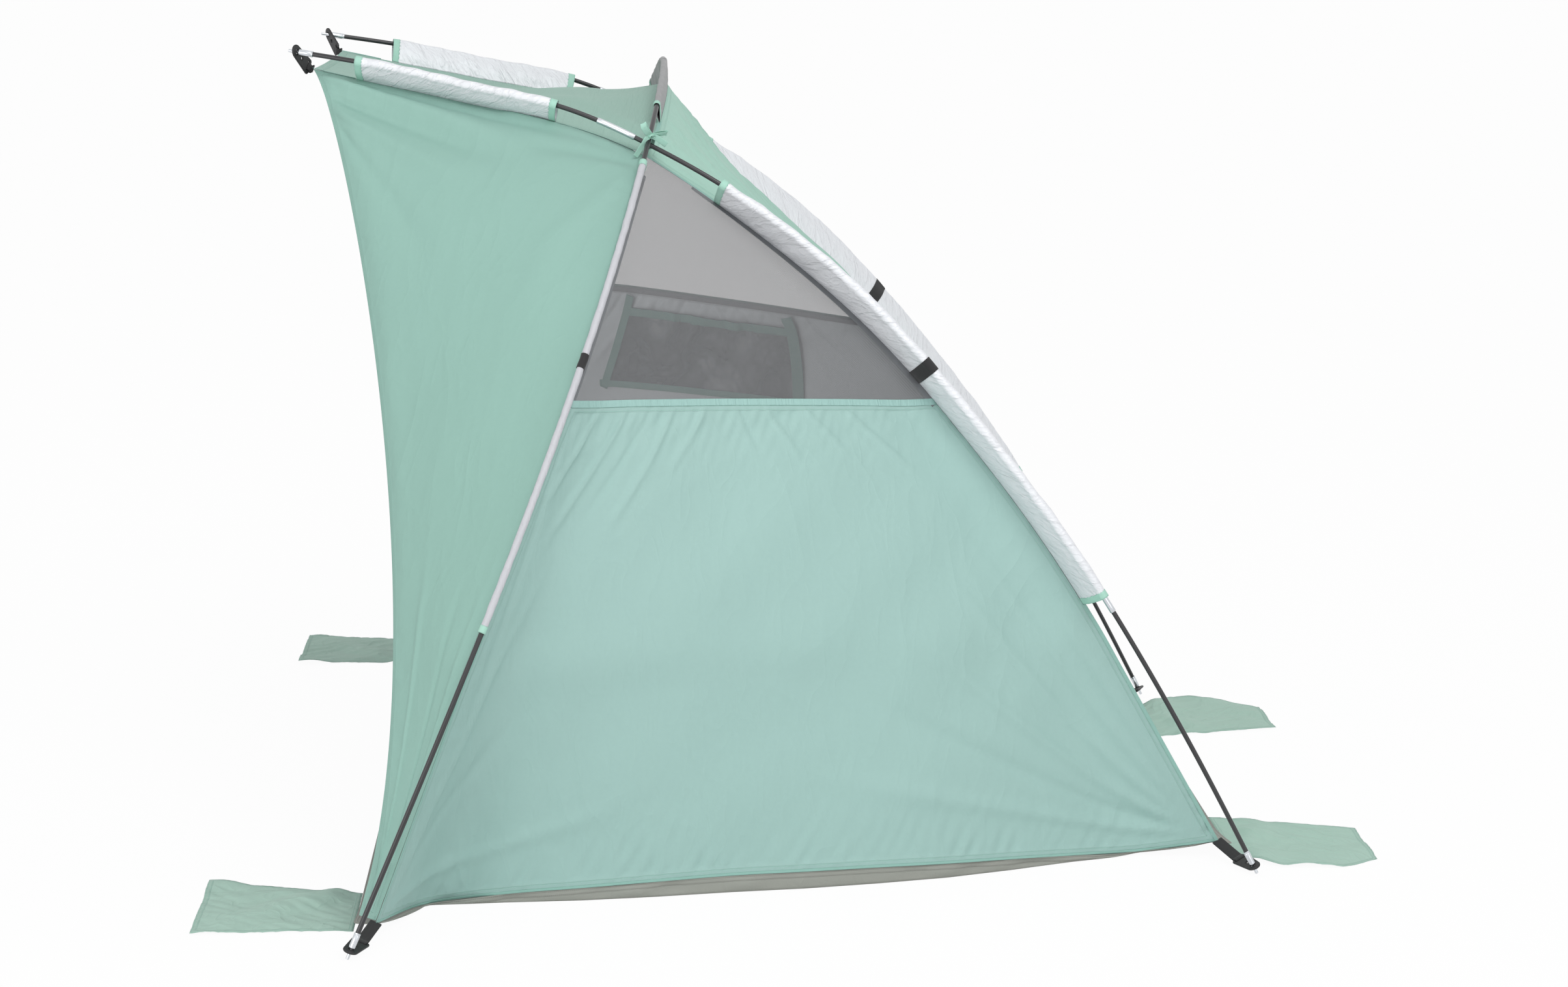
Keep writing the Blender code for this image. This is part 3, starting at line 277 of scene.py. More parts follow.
@dataclass(frozen=True)
class Rail:
    """A smooth line with a cross-section frame along it, read by the way run from its start."""

    run: Array
    points: Array
    along: Array
    first: Array
    second: Array

    @classmethod
    def through(cls, points: Array, lean: Array) -> "Rail":
        """A rail on dense points; its frame keeps one axis as near as it can to a given direction.

        Args:
            points: The points, in order.
            lean: The direction that the frame's first axis leans to.

        Returns:
            The rail.
        """
        along = unit(np.gradient(points, axis=0))
        first = square(np.array(lean), along)
        return cls(run_along(points), points, along, first, np.cross(along, first))

    @property
    def length(self) -> float:
        """The whole way from end to end."""
        return float(self.run[-1])

    def read(self, table: Array, places: Array) -> Array:
        """Values of one of the rail's tables at any places.

        Args:
            table: One of the rail's arrays.
            places: Ways run, of any shape.

        Returns:
            The values, with one more axis than the places.
        """
        return np.stack([np.interp(places, self.run, axis) for axis in table.T], axis=-1)

    def at(self, places: Array) -> Array:
        """Points at the places."""
        return self.read(self.points, places)

    def frame_at(self, places: Array) -> tuple[Array, Array, Array]:
        """The tangent and the two cross-section axes at the places."""
        return tuple(self.read(table, places) for table in (self.along, self.first, self.second))


# Meshes


def grid_faces(rows: int, columns: int, wrap: bool) -> tuple[Array, Array]:
    """Quads of a grid and, for each of their corners, its place in the grid's own coordinates.

    Args:
        rows: Rows of points.
        columns: Columns of points.
        wrap: Whether the last column joins the first.

    Returns:
        Point numbers of each quad, and row and column numbers of each corner, with the column not wrapped.
    """
    row, column = np.meshgrid(np.arange(rows - 1), np.arange(columns if wrap else columns - 1), indexing="ij")
    corner_rows = np.stack([row, row, row + 1, row + 1], axis=-1).reshape(-1, 4)
    corner_columns = np.stack([column, column + 1, column + 1, column], axis=-1).reshape(-1, 4)
    quads = corner_rows * columns + corner_columns % columns
    return quads, np.stack([corner_rows, corner_columns], axis=-1)


def mesh_piece(
    name: str,
    grid: Array,
    finishes: list[Material],
    layers: dict[str, Array] | None = None,
    closed: bool = False,
    flip: bool = False,
) -> Piece:
    """A mesh object from a grid of points: one quad between each four neighbours.

    Args:
        name: The piece's name.
        grid: Rows, columns and coordinates of the points, in metres.
        finishes: Its materials.
        layers: UV layers, each with a pair for each point; on a closed grid they have one more column.
        closed: Whether the last column joins the first, and the ends, which shrink to a point, are merged.
        flip: Whether the faces are turned over.

    Returns:
        The object, at the origin.
    """
    rows, columns = grid.shape[:2]
    quads, corners = grid_faces(rows, columns, closed)
    if flip:
        quads = quads[:, ::-1]
        corners = corners[:, ::-1]
    mesh = bpy.data.meshes.new(name)
    mesh.vertices.add(rows * columns)
    mesh.vertices.foreach_set("co", grid.reshape(-1).astype(np.float32))
    mesh.loops.add(quads.size)
    mesh.loops.foreach_set("vertex_index", quads.reshape(-1).astype(np.int32))
    mesh.polygons.add(len(quads))
    mesh.polygons.foreach_set("loop_start", np.arange(0, quads.size, 4, dtype=np.int32))
    for layer_name, values in (layers or {}).items():
        layer = mesh.uv_layers.new(name=layer_name)
        picked = values[corners[..., 0], corners[..., 1]]
        layer.data.foreach_set("uv", picked.reshape(-1).astype(np.float32))
    mesh.update(calc_edges=True)
    mesh.validate()
    if closed:
        shaped = bmesh.new()
        shaped.from_mesh(mesh)
        bmesh.ops.remove_doubles(shaped, verts=shaped.verts, dist=MERGED)
        bmesh.ops.recalc_face_normals(shaped, faces=shaped.faces)
        shaped.to_mesh(mesh)
        shaped.free()
    mesh.shade_smooth()
    for finish in finishes:
        mesh.materials.append(finish)
    made = bpy.data.objects.new(name, mesh)
    bpy.context.collection.objects.link(made)
    return made


def thicken(piece: Piece, thickness: float, inner_finish: bool = False) -> None:
    """Give a sheet its thickness on the side away from its normals.

    Args:
        piece: The sheet.
        thickness: The cloth's thickness in metres.
        inner_finish: Whether the inner face takes the piece's second material.
    """
    solid = piece.modifiers.new("thickness", "SOLIDIFY")
    solid.thickness = thickness
    solid.offset = -1.0
    solid.use_even_offset = False
    solid.material_offset = 1 if inner_finish else 0


def sheet_piece(
    name: str,
    grid: Array,
    side: Side,
    finishes: list[Material],
    layers: dict[str, Array],
    inside: Array,
    thickness: float,
) -> Piece:
    """A sheet with a thickness, whose face looks away from a place.

    Args:
        name: The piece's name.
        grid: The points of the tent's right side.
        side: The side that it is for.
        finishes: The outer material, and the inner one if there is one.
        layers: UV layers.
        inside: The place behind its middle.
        thickness: Its thickness in metres.

    Returns:
        The piece.
    """
    middle = (grid.shape[0] // 2, grid.shape[1] // 2)
    outward = float(np.dot(grid_normals(grid)[middle], grid[middle] - inside)) > 0.0
    piece = mesh_piece(name, placed(grid, side), finishes, layers, flip=outward == (side is Side.LEFT))
    thicken(piece, thickness, len(finishes) > 1)
    return piece


def stand(piece: Piece, slot: Slot, node: str = "", body: str = "tent") -> Piece:
    """Let a piece ride on its body and stand for its solid if it has one.

    Args:
        piece: The piece.
        slot: The record's slot; not used.
        node: The solid that it replaces, if any.
        body: The body that it rides on.

    Returns:
        The piece.
    """
    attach(piece, body)
    if node:
        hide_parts(node)
    return piece


def flat_size(grid: Array) -> tuple[float, float, float]:
    """A cut's width, length and area: the longest row, the longest column and the area of the surface."""
    wide = float(run_along(grid, 1)[:, -1].max())
    high = float(run_along(grid, 0)[-1].max())
    first = np.cross(grid[:-1, 1:] - grid[:-1, :-1], grid[1:, :-1] - grid[:-1, :-1])
    second = np.cross(grid[1:, 1:] - grid[1:, :-1], grid[1:, 1:] - grid[:-1, 1:])
    area = 0.5 * float(np.linalg.norm(first, axis=-1).sum() + np.linalg.norm(second, axis=-1).sum())
    return wide, high, min(area, wide * high)


def declare_sheet(piece: Piece, grid: Array, held: Held, **more: object) -> None:
    """Log a piece's width, length and area as a sheet of cloth, with its area where the cut isn't a full
    rectangle.

    Args:
        piece: The piece.
        grid: Its shaped grid.
        held: How the cloth is held; not used.
        more: What rests or rides with it; not used beyond being given the area.
    """
    wide, high, area = flat_size(grid)
    if area < FULL_CUT * wide * high:
        more["area"] = area
    log.info("%s: sheet %.3f x %.3f m, %.3f m2", piece.name, wide, high, area)


def surface_runs(grid: Array) -> tuple[Array, Array, dict[str, Array]]:
    """A sheet's runs along itself and along its nearest edge.

    Args:
        grid: The sheet's points.

    Returns:
        The four ways to the edges, the four ways along them, and the UV layers cloth and hem, all in metres.
    """
    across, down = run_along(grid, 1), run_along(grid, 0)
    away = np.stack([down, down[-1:] - down, across, across[:, -1:] - across])
    along = np.stack([across, across, down, down])
    edge_run = np.choose(np.argmin(away, axis=0), along)
    hem = np.stack([edge_run, away.min(axis=0)], axis=-1)
    return away, along, {"cloth": np.stack([across, down], axis=-1), "hem": hem}


def swept(path: Array, first: Array, second: Array, profile: Array) -> Array:
    """A profile carried along a path: each point is the path's plus its two profile coordinates on two axes.

    Args:
        path: The path's points.
        first: The first axis at each point of the path.
        second: The second axis at each point of the path.
        profile: Pairs of the profile, the same for the whole path or one set for each of its points.

    Returns:
        A grid with a row for each point of the path.
    """
    profile = np.broadcast_to(profile, (len(path), *profile.shape[-2:]))
    return path[:, None] + profile[..., :1] * first[:, None] + profile[..., 1:] * second[:, None]


def circle(sides: int) -> Array:
    """Pairs round a unit circle."""
    turn = np.arange(sides) * (2.0 * math.pi / sides)
    return np.stack([np.cos(turn), np.sin(turn)], axis=-1)


def flat_tape(width: float, thickness: float) -> Array:
    """Pairs round a tape's section: a superellipse |x/a|^8 + |y/b|^2.5 = 1, flat with round edges."""
    turn = np.arange(TAPE_SIDES) * (2.0 * math.pi / TAPE_SIDES)
    across = np.sign(np.cos(turn)) * np.abs(np.cos(turn)) ** (2.0 / 8.0)
    high = np.sign(np.sin(turn)) * np.abs(np.sin(turn)) ** (2.0 / 2.5)
    return np.stack([across * width / 2.0, high * thickness / 2.0], axis=-1)


def linear(colour: Colour) -> tuple[float, float, float, float]:
    """A linear colour from an sRGB one of 0 to 255, by the sRGB curve."""
    share = np.array(colour, float) / 255.0
    line = np.where(share <= 0.04045, share / 12.92, ((share + 0.055) / 1.055) ** 2.4)
    return (*(float(value) for value in line), 1.0)


# Shader nodes

SOCKET_KINDS = {"Vector": "NodeSocketVector", "Color": "NodeSocketColor"}
SEAM_ROWS = (0.25, 0.83)
MINT_THREAD = (141, 186, 172)



class Wiring:
    """Short ways to put nodes into one node tree."""

    def __init__(self, tree: bpy.types.NodeTree) -> None:
        """Keep the tree."""
        self.tree = tree

    def feed(self, place: Socket, value: object) -> None:
        """Link a socket to an input, or set the input's value."""
        if isinstance(value, Socket):
            self.tree.links.new(value, place)
        else:
            place.default_value = value

    def put(self, kind: str, settings: dict | None = None, **inputs: object) -> bpy.types.Node:
        """One node with its settings and inputs.

        Args:
            kind: The node's type, without the word that all shader nodes start with.
            settings: Properties of the node.
            inputs: Input values or sockets; underscores stand for spaces, and in_0 means the first input.

        Returns:
            The node.
        """
        made = self.tree.nodes.new("ShaderNode" + kind)
        for name, value in (settings or {}).items():
            setattr(made, name, value)
        for name, value in inputs.items():
            self.feed(made.inputs[int(name[3:]) if name.startswith("in_") else name.replace("_", " ")], value)
        return made

    def calc(self, operation: str, *values: object) -> Socket:
        """A Math node's result for values or sockets."""
        inputs = {f"in_{k}": value for k, value in enumerate(values)}
        return self.put("Math", {"operation": operation}, **inputs).outputs[0]

    def span(self, value: object, low: float, high: float, first: float, last: float) -> Socket:
        """A smooth change from one value to another as a socket goes from low to high."""
        ends = {"From_Min": low, "From_Max": high, "To_Min": first, "To_Max": last}
        return self.put("MapRange", {"interpolation_type": "SMOOTHSTEP"}, Value=value, **ends).outputs[0]

    def blend(self, share: object, first: object, second: object) -> Socket:
        """A colour between two, by a share."""
        return self.put("Mix", {"data_type": "RGBA"}, in_0=share, in_6=first, in_7=second).outputs[2]

    def bump(self, height: object, strength: float, reach: float, **before: object) -> Socket:
        """A normal bent by a height, on top of an earlier one if Normal gives it."""
        return self.put("Bump", None, Height=height, Strength=strength, Distance=reach, **before).outputs[0]

    def noise(self, vector: object, scale: float, detail: float, **more: object) -> Socket:
        """A noise texture's value."""
        return self.put("TexNoise", None, Vector=vector, Scale=scale, Detail=detail, **more).outputs[0]

    def group(self, tree: bpy.types.NodeTree, **inputs: object) -> bpy.types.NodeOutputs:
        """The outputs of one of the shared effects."""
        return self.put("Group", {"node_tree": tree}, **inputs).outputs

    def uv(self, layer: str) -> Socket:
        """One of the piece's UV layers, in metres."""
        return self.put("UVMap", {"uv_map": layer}).outputs[0]

    def scaled(self, vector: object, x: object, y: object, z: float) -> Socket:
        """A vector multiplied by three factors."""
        factors = self.put("CombineXYZ", None, X=x, Y=y, Z=z).outputs[0]
        return self.put("VectorMath", {"operation": "MULTIPLY"}, in_0=vector, in_1=factors).outputs[0]

    def from_half(self, value: object) -> Socket:
        """How far a value is from a half."""
        return self.calc("ABSOLUTE", self.calc("SUBTRACT", value, 0.5))


class Effects:
    """Shared effects, each a node group that is built once."""

    def __init__(self) -> None:
        """Build every group."""
        self.weave = self._weave()
        self.crumple = self._crumple()
        self.stitch = self._stitch()
        self.tone = self._tone()
        self.net = self._net()
        self.streaks = self._streaks()
        self.grain = self._grain()

    @staticmethod
    def _start(name: str, inputs: dict[str, float | None], *outputs: str) -> tuple[Wiring, object, object]:
        """A new group with its sockets.

        Args:
            name: The group's name.
            inputs: First values by the sockets' names; a vector and a colour have none.
            outputs: The results' names.

        Returns:
            The wiring, the given sockets and the sockets of the results.
        """
        tree = bpy.data.node_groups.new("tent_" + name, "ShaderNodeTree")
        sockets = [("INPUT", *pair) for pair in inputs.items()] + [("OUTPUT", word, None) for word in outputs]
        for way, word, value in sockets:
            kind = SOCKET_KINDS.get(word, "NodeSocketFloat")
            made = tree.interface.new_socket(word, in_out=way, socket_type=kind)
            if value is not None:
                made.default_value = value
        given, result = tree.nodes.new("NodeGroupInput"), tree.nodes.new("NodeGroupOutput")
        return Wiring(tree), given.outputs, result.inputs

    def _weave(self) -> bpy.types.NodeTree:
        """Plain weave: a half plus the product of a sine across and one down, and a slow change of thread."""
        wiring, given, result = self._start("weave", {"Vector": None, "Pitch": 0.0006}, "Height")
        parts = wiring.put("SeparateXYZ", None, Vector=given["Vector"]).outputs
        rate = wiring.calc("DIVIDE", 2.0 * math.pi, given["Pitch"])
        warp, weft = (wiring.calc("SINE", wiring.calc("MULTIPLY", part, rate)) for part in parts[:2])
        slub = wiring.noise(given["Vector"], 900.0, 1.0)
        check = wiring.calc("MULTIPLY_ADD", wiring.calc("MULTIPLY", warp, weft), 0.35, 0.5)
        wiring.feed(result["Height"], wiring.calc("MULTIPLY_ADD", slub, 0.3, check))
        return wiring.tree

    def _crumple(self) -> bpy.types.NodeTree:
        """Fine creases: one less the distance of a stretched noise from a half, to a power, at two sizes."""
        inputs = {"Vector": None, "Across": 14.0, "Down": 4.0, "Turn": 0.0}
        wiring, given, result = self._start("crumple", inputs, "Height")
        turning = {"rotation_type": "Z_AXIS"}
        turned = wiring.put("VectorRotate", turning, Vector=given["Vector"], Angle=given["Turn"]).outputs[0]
        place = wiring.scaled(turned, given["Across"], given["Down"], 6.0)
        heights = []
        for size, weight in ((1.0, 0.7), (2.7, 0.3)):
            away = wiring.from_half(wiring.noise(place, size, 2.0, Distortion=0.6))
            ridge = wiring.calc("POWER", wiring.calc("SUBTRACT", 1.0, away), 8.0)
            heights.append(wiring.calc("MULTIPLY", ridge, weight))
        wiring.feed(result["Height"], wiring.calc("ADD", *heights))
        return wiring.tree

    def _stitch(self) -> bpy.types.NodeTree:
        """Sewing along an edge: two rows of thread dashes, the turned hem's step, and its needle dimples."""
        inputs = {"Vector": None, "Hem": 0.012, "Pitch": 0.0032}
        wiring, given, result = self._start("stitch", inputs, "Thread", "Height", "Hem")
        along, away = wiring.put("SeparateXYZ", None, Vector=given["Vector"]).outputs[:2]
        hem = given["Hem"]
        beat = wiring.calc("FRACT", wiring.calc("DIVIDE", along, given["Pitch"]))
        dash = wiring.calc("LESS_THAN", wiring.from_half(beat), 0.36)
        rows, dips = [], []
        for place in SEAM_ROWS:
            line = wiring.calc("ABSOLUTE", wiring.calc("MULTIPLY_ADD", hem, -place, away))
            rows.append(wiring.calc("LESS_THAN", line, 0.00045))
            dip = wiring.calc("SUBTRACT", 1.0, wiring.calc("DIVIDE", line, 0.0014))
            dips.append(wiring.calc("MAXIMUM", dip, 0.0))
        thread = wiring.calc("MULTIPLY", wiring.calc("MAXIMUM", *rows), dash)
        inside = wiring.calc("DIVIDE", wiring.calc("SUBTRACT", hem, away), 0.0008)
        step = wiring.calc("MINIMUM", wiring.calc("MAXIMUM", inside, 0.0), 1.0)
        low = wiring.calc("MULTIPLY", wiring.calc("MAXIMUM", *dips), 0.45)
        raised = wiring.calc("MULTIPLY", thread, 0.35)
        height = wiring.calc("ADD", wiring.calc("SUBTRACT", step, low), raised)
        for name, value in (("Thread", thread), ("Height", height), ("Hem", step)):
            wiring.feed(result[name], value)
        return wiring.tree

    def _tone(self) -> bpy.types.NodeTree:
        """Slow and fine changes of a colour's brightness, from two noises."""
        wiring, given, result = self._start("tone", {"Color": None, "Vector": None, "Amount": 0.06}, "Color")
        slow, fine = (wiring.noise(given["Vector"], scale, 2.0) for scale in (3.0, 160.0))
        both = wiring.calc("ADD", slow, wiring.calc("MULTIPLY", fine, 0.5))
        value = wiring.calc("MULTIPLY_ADD", wiring.calc("SUBTRACT", both, 0.75), given["Amount"], 1.0)
        shade = wiring.put("HueSaturation", None, Color=given["Color"], Value=value)
        wiring.feed(result["Color"], shade.outputs[0])
        return wiring.tree

    def _net(self) -> bpy.types.NodeTree:
        """Netting: the larger of a thread's closeness across and down."""
        wiring, given, result = self._start("net", {"Vector": None, "Pitch": 0.0016}, "Thread")
        near = []
        for part in wiring.put("SeparateXYZ", None, Vector=given["Vector"]).outputs[:2]:
            away = wiring.from_half(wiring.calc("FRACT", wiring.calc("DIVIDE", part, given["Pitch"])))
            near.append(wiring.span(away, 0.18, 0.34, 1.0, 0.0))
        wiring.feed(result["Thread"], wiring.calc("MAXIMUM", *near))
        return wiring.tree

    def _streaks(self) -> bpy.types.NodeTree:
        """Long fine marks: a noise stretched along one direction of a surface."""
        inputs = {"Vector": None, "Along": 8.0, "Across": 700.0}
        wiring, given, result = self._start("streaks", inputs, "Mask")
        noise = wiring.noise(wiring.scaled(given["Vector"], given["Along"], given["Across"], 1.0), 1.0, 3.0)
        wiring.feed(result["Mask"], wiring.span(noise, 0.35, 0.7, 0.0, 1.0))
        return wiring.tree

    def _grain(self) -> bpy.types.NodeTree:
        """Moulded grain: small cells of a Voronoi pattern, softened by noise."""
        wiring, given, result = self._start("grain", {"Vector": None, "Scale": 1400.0}, "Height")
        cells = wiring.put("TexVoronoi", None, Vector=given["Vector"], Scale=given["Scale"])
        noise = wiring.noise(given["Vector"], 260.0, 3.0)
        cell = wiring.calc("MULTIPLY", cells.outputs["Distance"], 0.6)
        wiring.feed(result["Height"], wiring.calc("ADD", cell, noise))
        return wiring.tree


class Draft:
    """A material that is being put together on its Principled node."""

    def __init__(self, name: str) -> None:
        """Start the material and its wiring."""
        self.material = bpy.data.materials.new(name)
        self.material.use_nodes = True
        self.wiring = Wiring(self.material.node_tree)
        self.shader = self.material.node_tree.nodes["Principled BSDF"]

    @property
    def place(self) -> Socket:
        """Object coordinates."""
        return self.wiring.put("TexCoord").outputs["Object"]

    def done(self, plain: Colour, **inputs: object) -> Material:
        """Feed the Principled node and finish the material.

        Args:
            plain: The colour for views without shading.
            inputs: Values or sockets, with underscores for spaces.

        Returns:
            The material.
        """
        for name, value in inputs.items():
            self.wiring.feed(self.shader.inputs[name.replace("_", " ")], value)
        self.material.diffuse_color = linear(plain)
        return self.material


@dataclass(frozen=True)
class ClothFinish:
    """Coated woven cloth with sewn edges."""

    name: str
    colour: Colour
    thread: Colour = MINT_THREAD
    roughness: float = 0.62
    metallic: float = 0.0
    weave: tuple[float, float] = (0.0007, 0.00006)
    crease: tuple[float, float, float, float] = (16.0, 5.0, 0.5, 0.0006)
    tone: float = 0.08
    hem: float = 0.012
    sewn: bool = True
    hem_shade: float = 0.04

    def make(self, effects: Effects) -> Material:
        """The material, which reads the piece's UV layers cloth and, if sewn, hem."""
        draft = Draft(self.name)
        wiring = draft.wiring
        flat = wiring.uv("cloth")
        tone = {"Color": linear(self.colour), "Vector": draft.place, "Amount": self.tone}
        colour = wiring.group(effects.tone, **tone)[0]
        pitch, depth = self.weave
        weave = wiring.group(effects.weave, Vector=flat, Pitch=pitch)[0]
        across, down, turn, crease_depth = self.crease
        crease = wiring.group(effects.crumple, Vector=flat, Across=across, Down=down, Turn=turn)[0]
        normal = wiring.bump(crease, 1.0, crease_depth, Normal=wiring.bump(weave, 1.0, depth))
        if self.sewn:
            stitch = wiring.group(effects.stitch, Vector=wiring.uv("hem"), Hem=self.hem)
            shade = wiring.calc("MULTIPLY_ADD", stitch["Hem"], -self.hem_shade, 1.0)
            colour = wiring.put("HueSaturation", None, Color=colour, Value=shade).outputs[0]
            colour = wiring.blend(stitch["Thread"], colour, linear(self.thread))
            normal = wiring.bump(stitch["Height"], 1.0, 0.0005, Normal=normal)
        rough = wiring.calc("MULTIPLY_ADD", weave, 0.12, self.roughness - 0.06)
        more = {"Roughness": rough, "Normal": normal, "Metallic": self.metallic}
        return draft.done(self.colour, Base_Color=colour, **more)


@dataclass(frozen=True)
class NetFinish:
    """See-through netting."""

    name: str
    colour: Colour
    cover: float
    folds: float = 0.0
    swing: float = 0.12
    pitch: float = 0.0016

    def make(self, effects: Effects) -> Material:
        """The material: its alpha is the mean cover, swung by the threads and by soft folds."""
        draft = Draft(self.name)
        wiring = draft.wiring
        flat = wiring.uv("cloth")
        net = wiring.group(effects.net, Vector=flat, Pitch=self.pitch)[0]
        tone = wiring.group(effects.tone, Color=linear(self.colour), Vector=draft.place, Amount=0.06)[0]
        alpha = wiring.calc("MULTIPLY_ADD", net, self.swing, self.cover - 0.55 * self.swing)
        if self.folds:
            fold = wiring.group(effects.crumple, Vector=flat, Across=7.0, Down=5.0, Turn=0.5)[0]
            alpha = wiring.calc("MULTIPLY_ADD", wiring.calc("SUBTRACT", fold, 0.5), self.folds, alpha)
        normal = wiring.bump(net, 0.6, 0.0003)
        return draft.done(self.colour, Alpha=alpha, Base_Color=tone, Normal=normal, Roughness=0.75)


@dataclass(frozen=True)
class DrawnFinish:
    """A hard surface with fine marks along it: pulled glass fibre or drawn steel."""

    name: str
    colour: Colour
    mark: Colour
    marking: float
    roughness: tuple[float, float]
    streaks: tuple[float, float]
    relief: tuple[float, float]

    def make(self, effects: Effects, **inputs: float) -> Material:
        """The material.

        Args:
            effects: The shared node groups.
            inputs: Further values of the Principled node.

        Returns:
            A material that reads the piece's UV layer cloth, in metres along and round.
        """
        draft = Draft(self.name)
        wiring = draft.wiring
        along, across = self.streaks
        streaks = wiring.group(effects.streaks, Vector=wiring.uv("cloth"), Along=along, Across=across)[0]
        share = wiring.calc("MULTIPLY", streaks, self.marking)
        colour = wiring.blend(share, linear(self.colour), linear(self.mark))
        rough = wiring.calc("MULTIPLY_ADD", streaks, *self.roughness)
        normal = wiring.bump(streaks, *self.relief)
        return draft.done(self.colour, Base_Color=colour, Roughness=rough, Normal=normal, **inputs)


@dataclass(frozen=True)
class PlasticFinish:
    """Moulded black plastic with a fine grain."""

    name: str = "moulded_plastic"
    colour: Colour = (24, 24, 25)
    scuff: Colour = (50, 50, 52)
    roughness: float = 0.42

    def make(self, effects: Effects) -> Material:
        """The material, which reads Object coordinates."""
        draft = Draft(self.name)
        wiring = draft.wiring
        grain = wiring.group(effects.grain, Vector=draft.place)[0]
        worn = wiring.span(grain, 0.75, 1.2, 0.0, 0.5)
        colour = wiring.blend(worn, linear(self.colour), linear(self.scuff))
        rough = wiring.calc("MULTIPLY_ADD", grain, 0.15, self.roughness)
        normal = wiring.bump(grain, 0.5, 0.00012)
        return draft.done(self.colour, Base_Color=colour, Roughness=rough, Normal=normal)


@dataclass(frozen=True)
class WebbingFinish:
    """Woven tape with a herringbone rib."""

    name: str = "woven_webbing"
    colour: Colour = (22, 22, 23)
    light: Colour = (46, 46, 48)
    pitch: float = 0.0018
    roughness: float = 0.8

    def make(self, effects: Effects) -> Material:
        """The material: ribs run in a V pattern across the tape's UV layer cloth."""
        draft = Draft(self.name)
        wiring = draft.wiring
        flat = wiring.uv("cloth")
        along, across = wiring.put("SeparateXYZ", None, Vector=flat).outputs[:2]
        slant = wiring.calc("ADD", along, wiring.calc("PINGPONG", across, 0.0032))
        rib = wiring.calc("SINE", wiring.calc("MULTIPLY", slant, 2.0 * math.pi / self.pitch))
        weave = wiring.calc("MULTIPLY", wiring.group(effects.weave, Vector=flat, Pitch=0.0009)[0], 0.4)
        height = wiring.calc("ADD", wiring.calc("MULTIPLY_ADD", rib, 0.25, 0.5), weave)
        share = wiring.span(height, 0.4, 1.1, 0.0, 0.6)
        colour = wiring.blend(share, linear(self.colour), linear(self.light))
        inputs = {"Roughness": self.roughness, "Sheen_Weight": 0.1}
        return draft.done(self.colour, Base_Color=colour, Normal=wiring.bump(height, 0.8, 0.0003), **inputs)


class Finishes:
    """Every material of the tent."""

    def __init__(self, effects: Effects) -> None:
        """Build the materials from their finishes.

        Args:
            effects: The shared node groups.
        """
        tape = {"sewn": False, "weave": (0.0011, 0.00012)}
        wing = {"crease": (7.0, 2.5, -0.5, 0.0018), "hem_shade": 0.07}
        band = {"sewn": False, "crease": (70.0, 6.0, 0.0, 0.0012)}
        flap = {"crease": (9.0, 5.0, 0.8, 0.0040), "hem": 0.009, "hem_shade": 0.06}
        coated = {"roughness": 0.5, "crease": (9.0, 3.0, 0.6, 0.0018)}
        fin = {"roughness": 0.5, "crease": (20.0, 40.0, 0.5, 0.0008), "sewn": False}
        grey = {"roughness": 0.45, "crease": (26.0, 60.0, 0.5, 0.0008), "sewn": False}
        silver = {"roughness": 0.46, "metallic": 0.12, "crease": (16.0, 42.0, 0.9, 0.0022), "sewn": False}
        floor = {"roughness": 0.7, "weave": (0.0016, 0.00012), "hem": 0.010}
        floor["crease"] = (6.0, 9.0, 0.2, 0.0012)
        cloths = {
            # The side, wing, roof, rear and flap are one mint fabric, but each panel has its own colour, set
            # lighter or darker to paint the light and shade that panel gets: the side's bluer tint is a
            # painted sheen, and the flap's colour is raised to paint light where the tent's shadow falls on
            # the far flap.
            "mint": ClothFinish("mint_side_cloth", (152, 185, 179), crease=(9.0, 3.0, 0.6, 0.0017)),
            "wing": ClothFinish("mint_wing_cloth", (137, 175, 164), **wing),
            "roof": ClothFinish("mint_roof_cloth", (144, 177, 165), crease=(3.0, 34.0, 0.05, 0.0012)),
            "rear": ClothFinish("mint_rear_cloth", (158, 196, 182), crease=(10.0, 3.0, 0.9, 0.0014)),
            "flap": ClothFinish("mint_flap_cloth", (163, 193, 180), **flap),
            "tape": ClothFinish("mint_tape", (160, 204, 188), **tape),
            "band": ClothFinish("mint_hem_band", (149, 186, 180), **band),
            # The pocket tapes' colour is darkened to paint the shade they hang in, inside the tent behind the
            # netting.
            "pocket_tape": ClothFinish("pocket_tape", (100, 138, 129), **tape),
            "piping": ClothFinish("mint_seam_piping", (138, 179, 169), sewn=False, weave=(0.0011, 0.00006)),
            "coated": ClothFinish("silver_coating", (196, 201, 204), (160, 163, 166), **coated),
            "silver": ClothFinish("silver_sleeve_cloth", (223, 225, 229), **silver),
            "fin": ClothFinish("grey_fin_cloth", (145, 146, 147), **fin),
            "grey": ClothFinish("grey_sleeve_cloth", (188, 189, 194), **grey),
            "binding": ClothFinish("grey_binding", (112, 115, 118), sewn=False, weave=(0.0010, 0.0001)),
            "floor": ClothFinish("floor_cloth", (145, 147, 140), (122, 122, 116), **floor),
            "net": NetFinish("window_netting", (140, 140, 142), 0.27),
            "pocket": NetFinish("pocket_netting", (90, 99, 102), 0.38, folds=0.8),
        }
        self.cloth = {word: finish.make(effects) for word, finish in cloths.items()}
        drawn = (0.35, (0.18, 0.34), (7.0, 900.0), (0.5, 0.00004))
        pole = DrawnFinish("glass_fibre_pole", (27, 27, 29), (56, 56, 60), *drawn)
        drawn = (0.4, (0.16, 0.24), (30.0, 1500.0), (0.4, 0.00003))
        steel = DrawnFinish("plated_steel", (214, 218, 222), (150, 154, 160), *drawn)
        self.pole = pole.make(effects, Coat_Weight=0.25, Coat_Roughness=0.2)
        self.steel = steel.make(effects, Metallic=1.0)
        self.plastic = PlasticFinish().make(effects)
        self.webbing = WebbingFinish().make(effects)


# The tent's lines


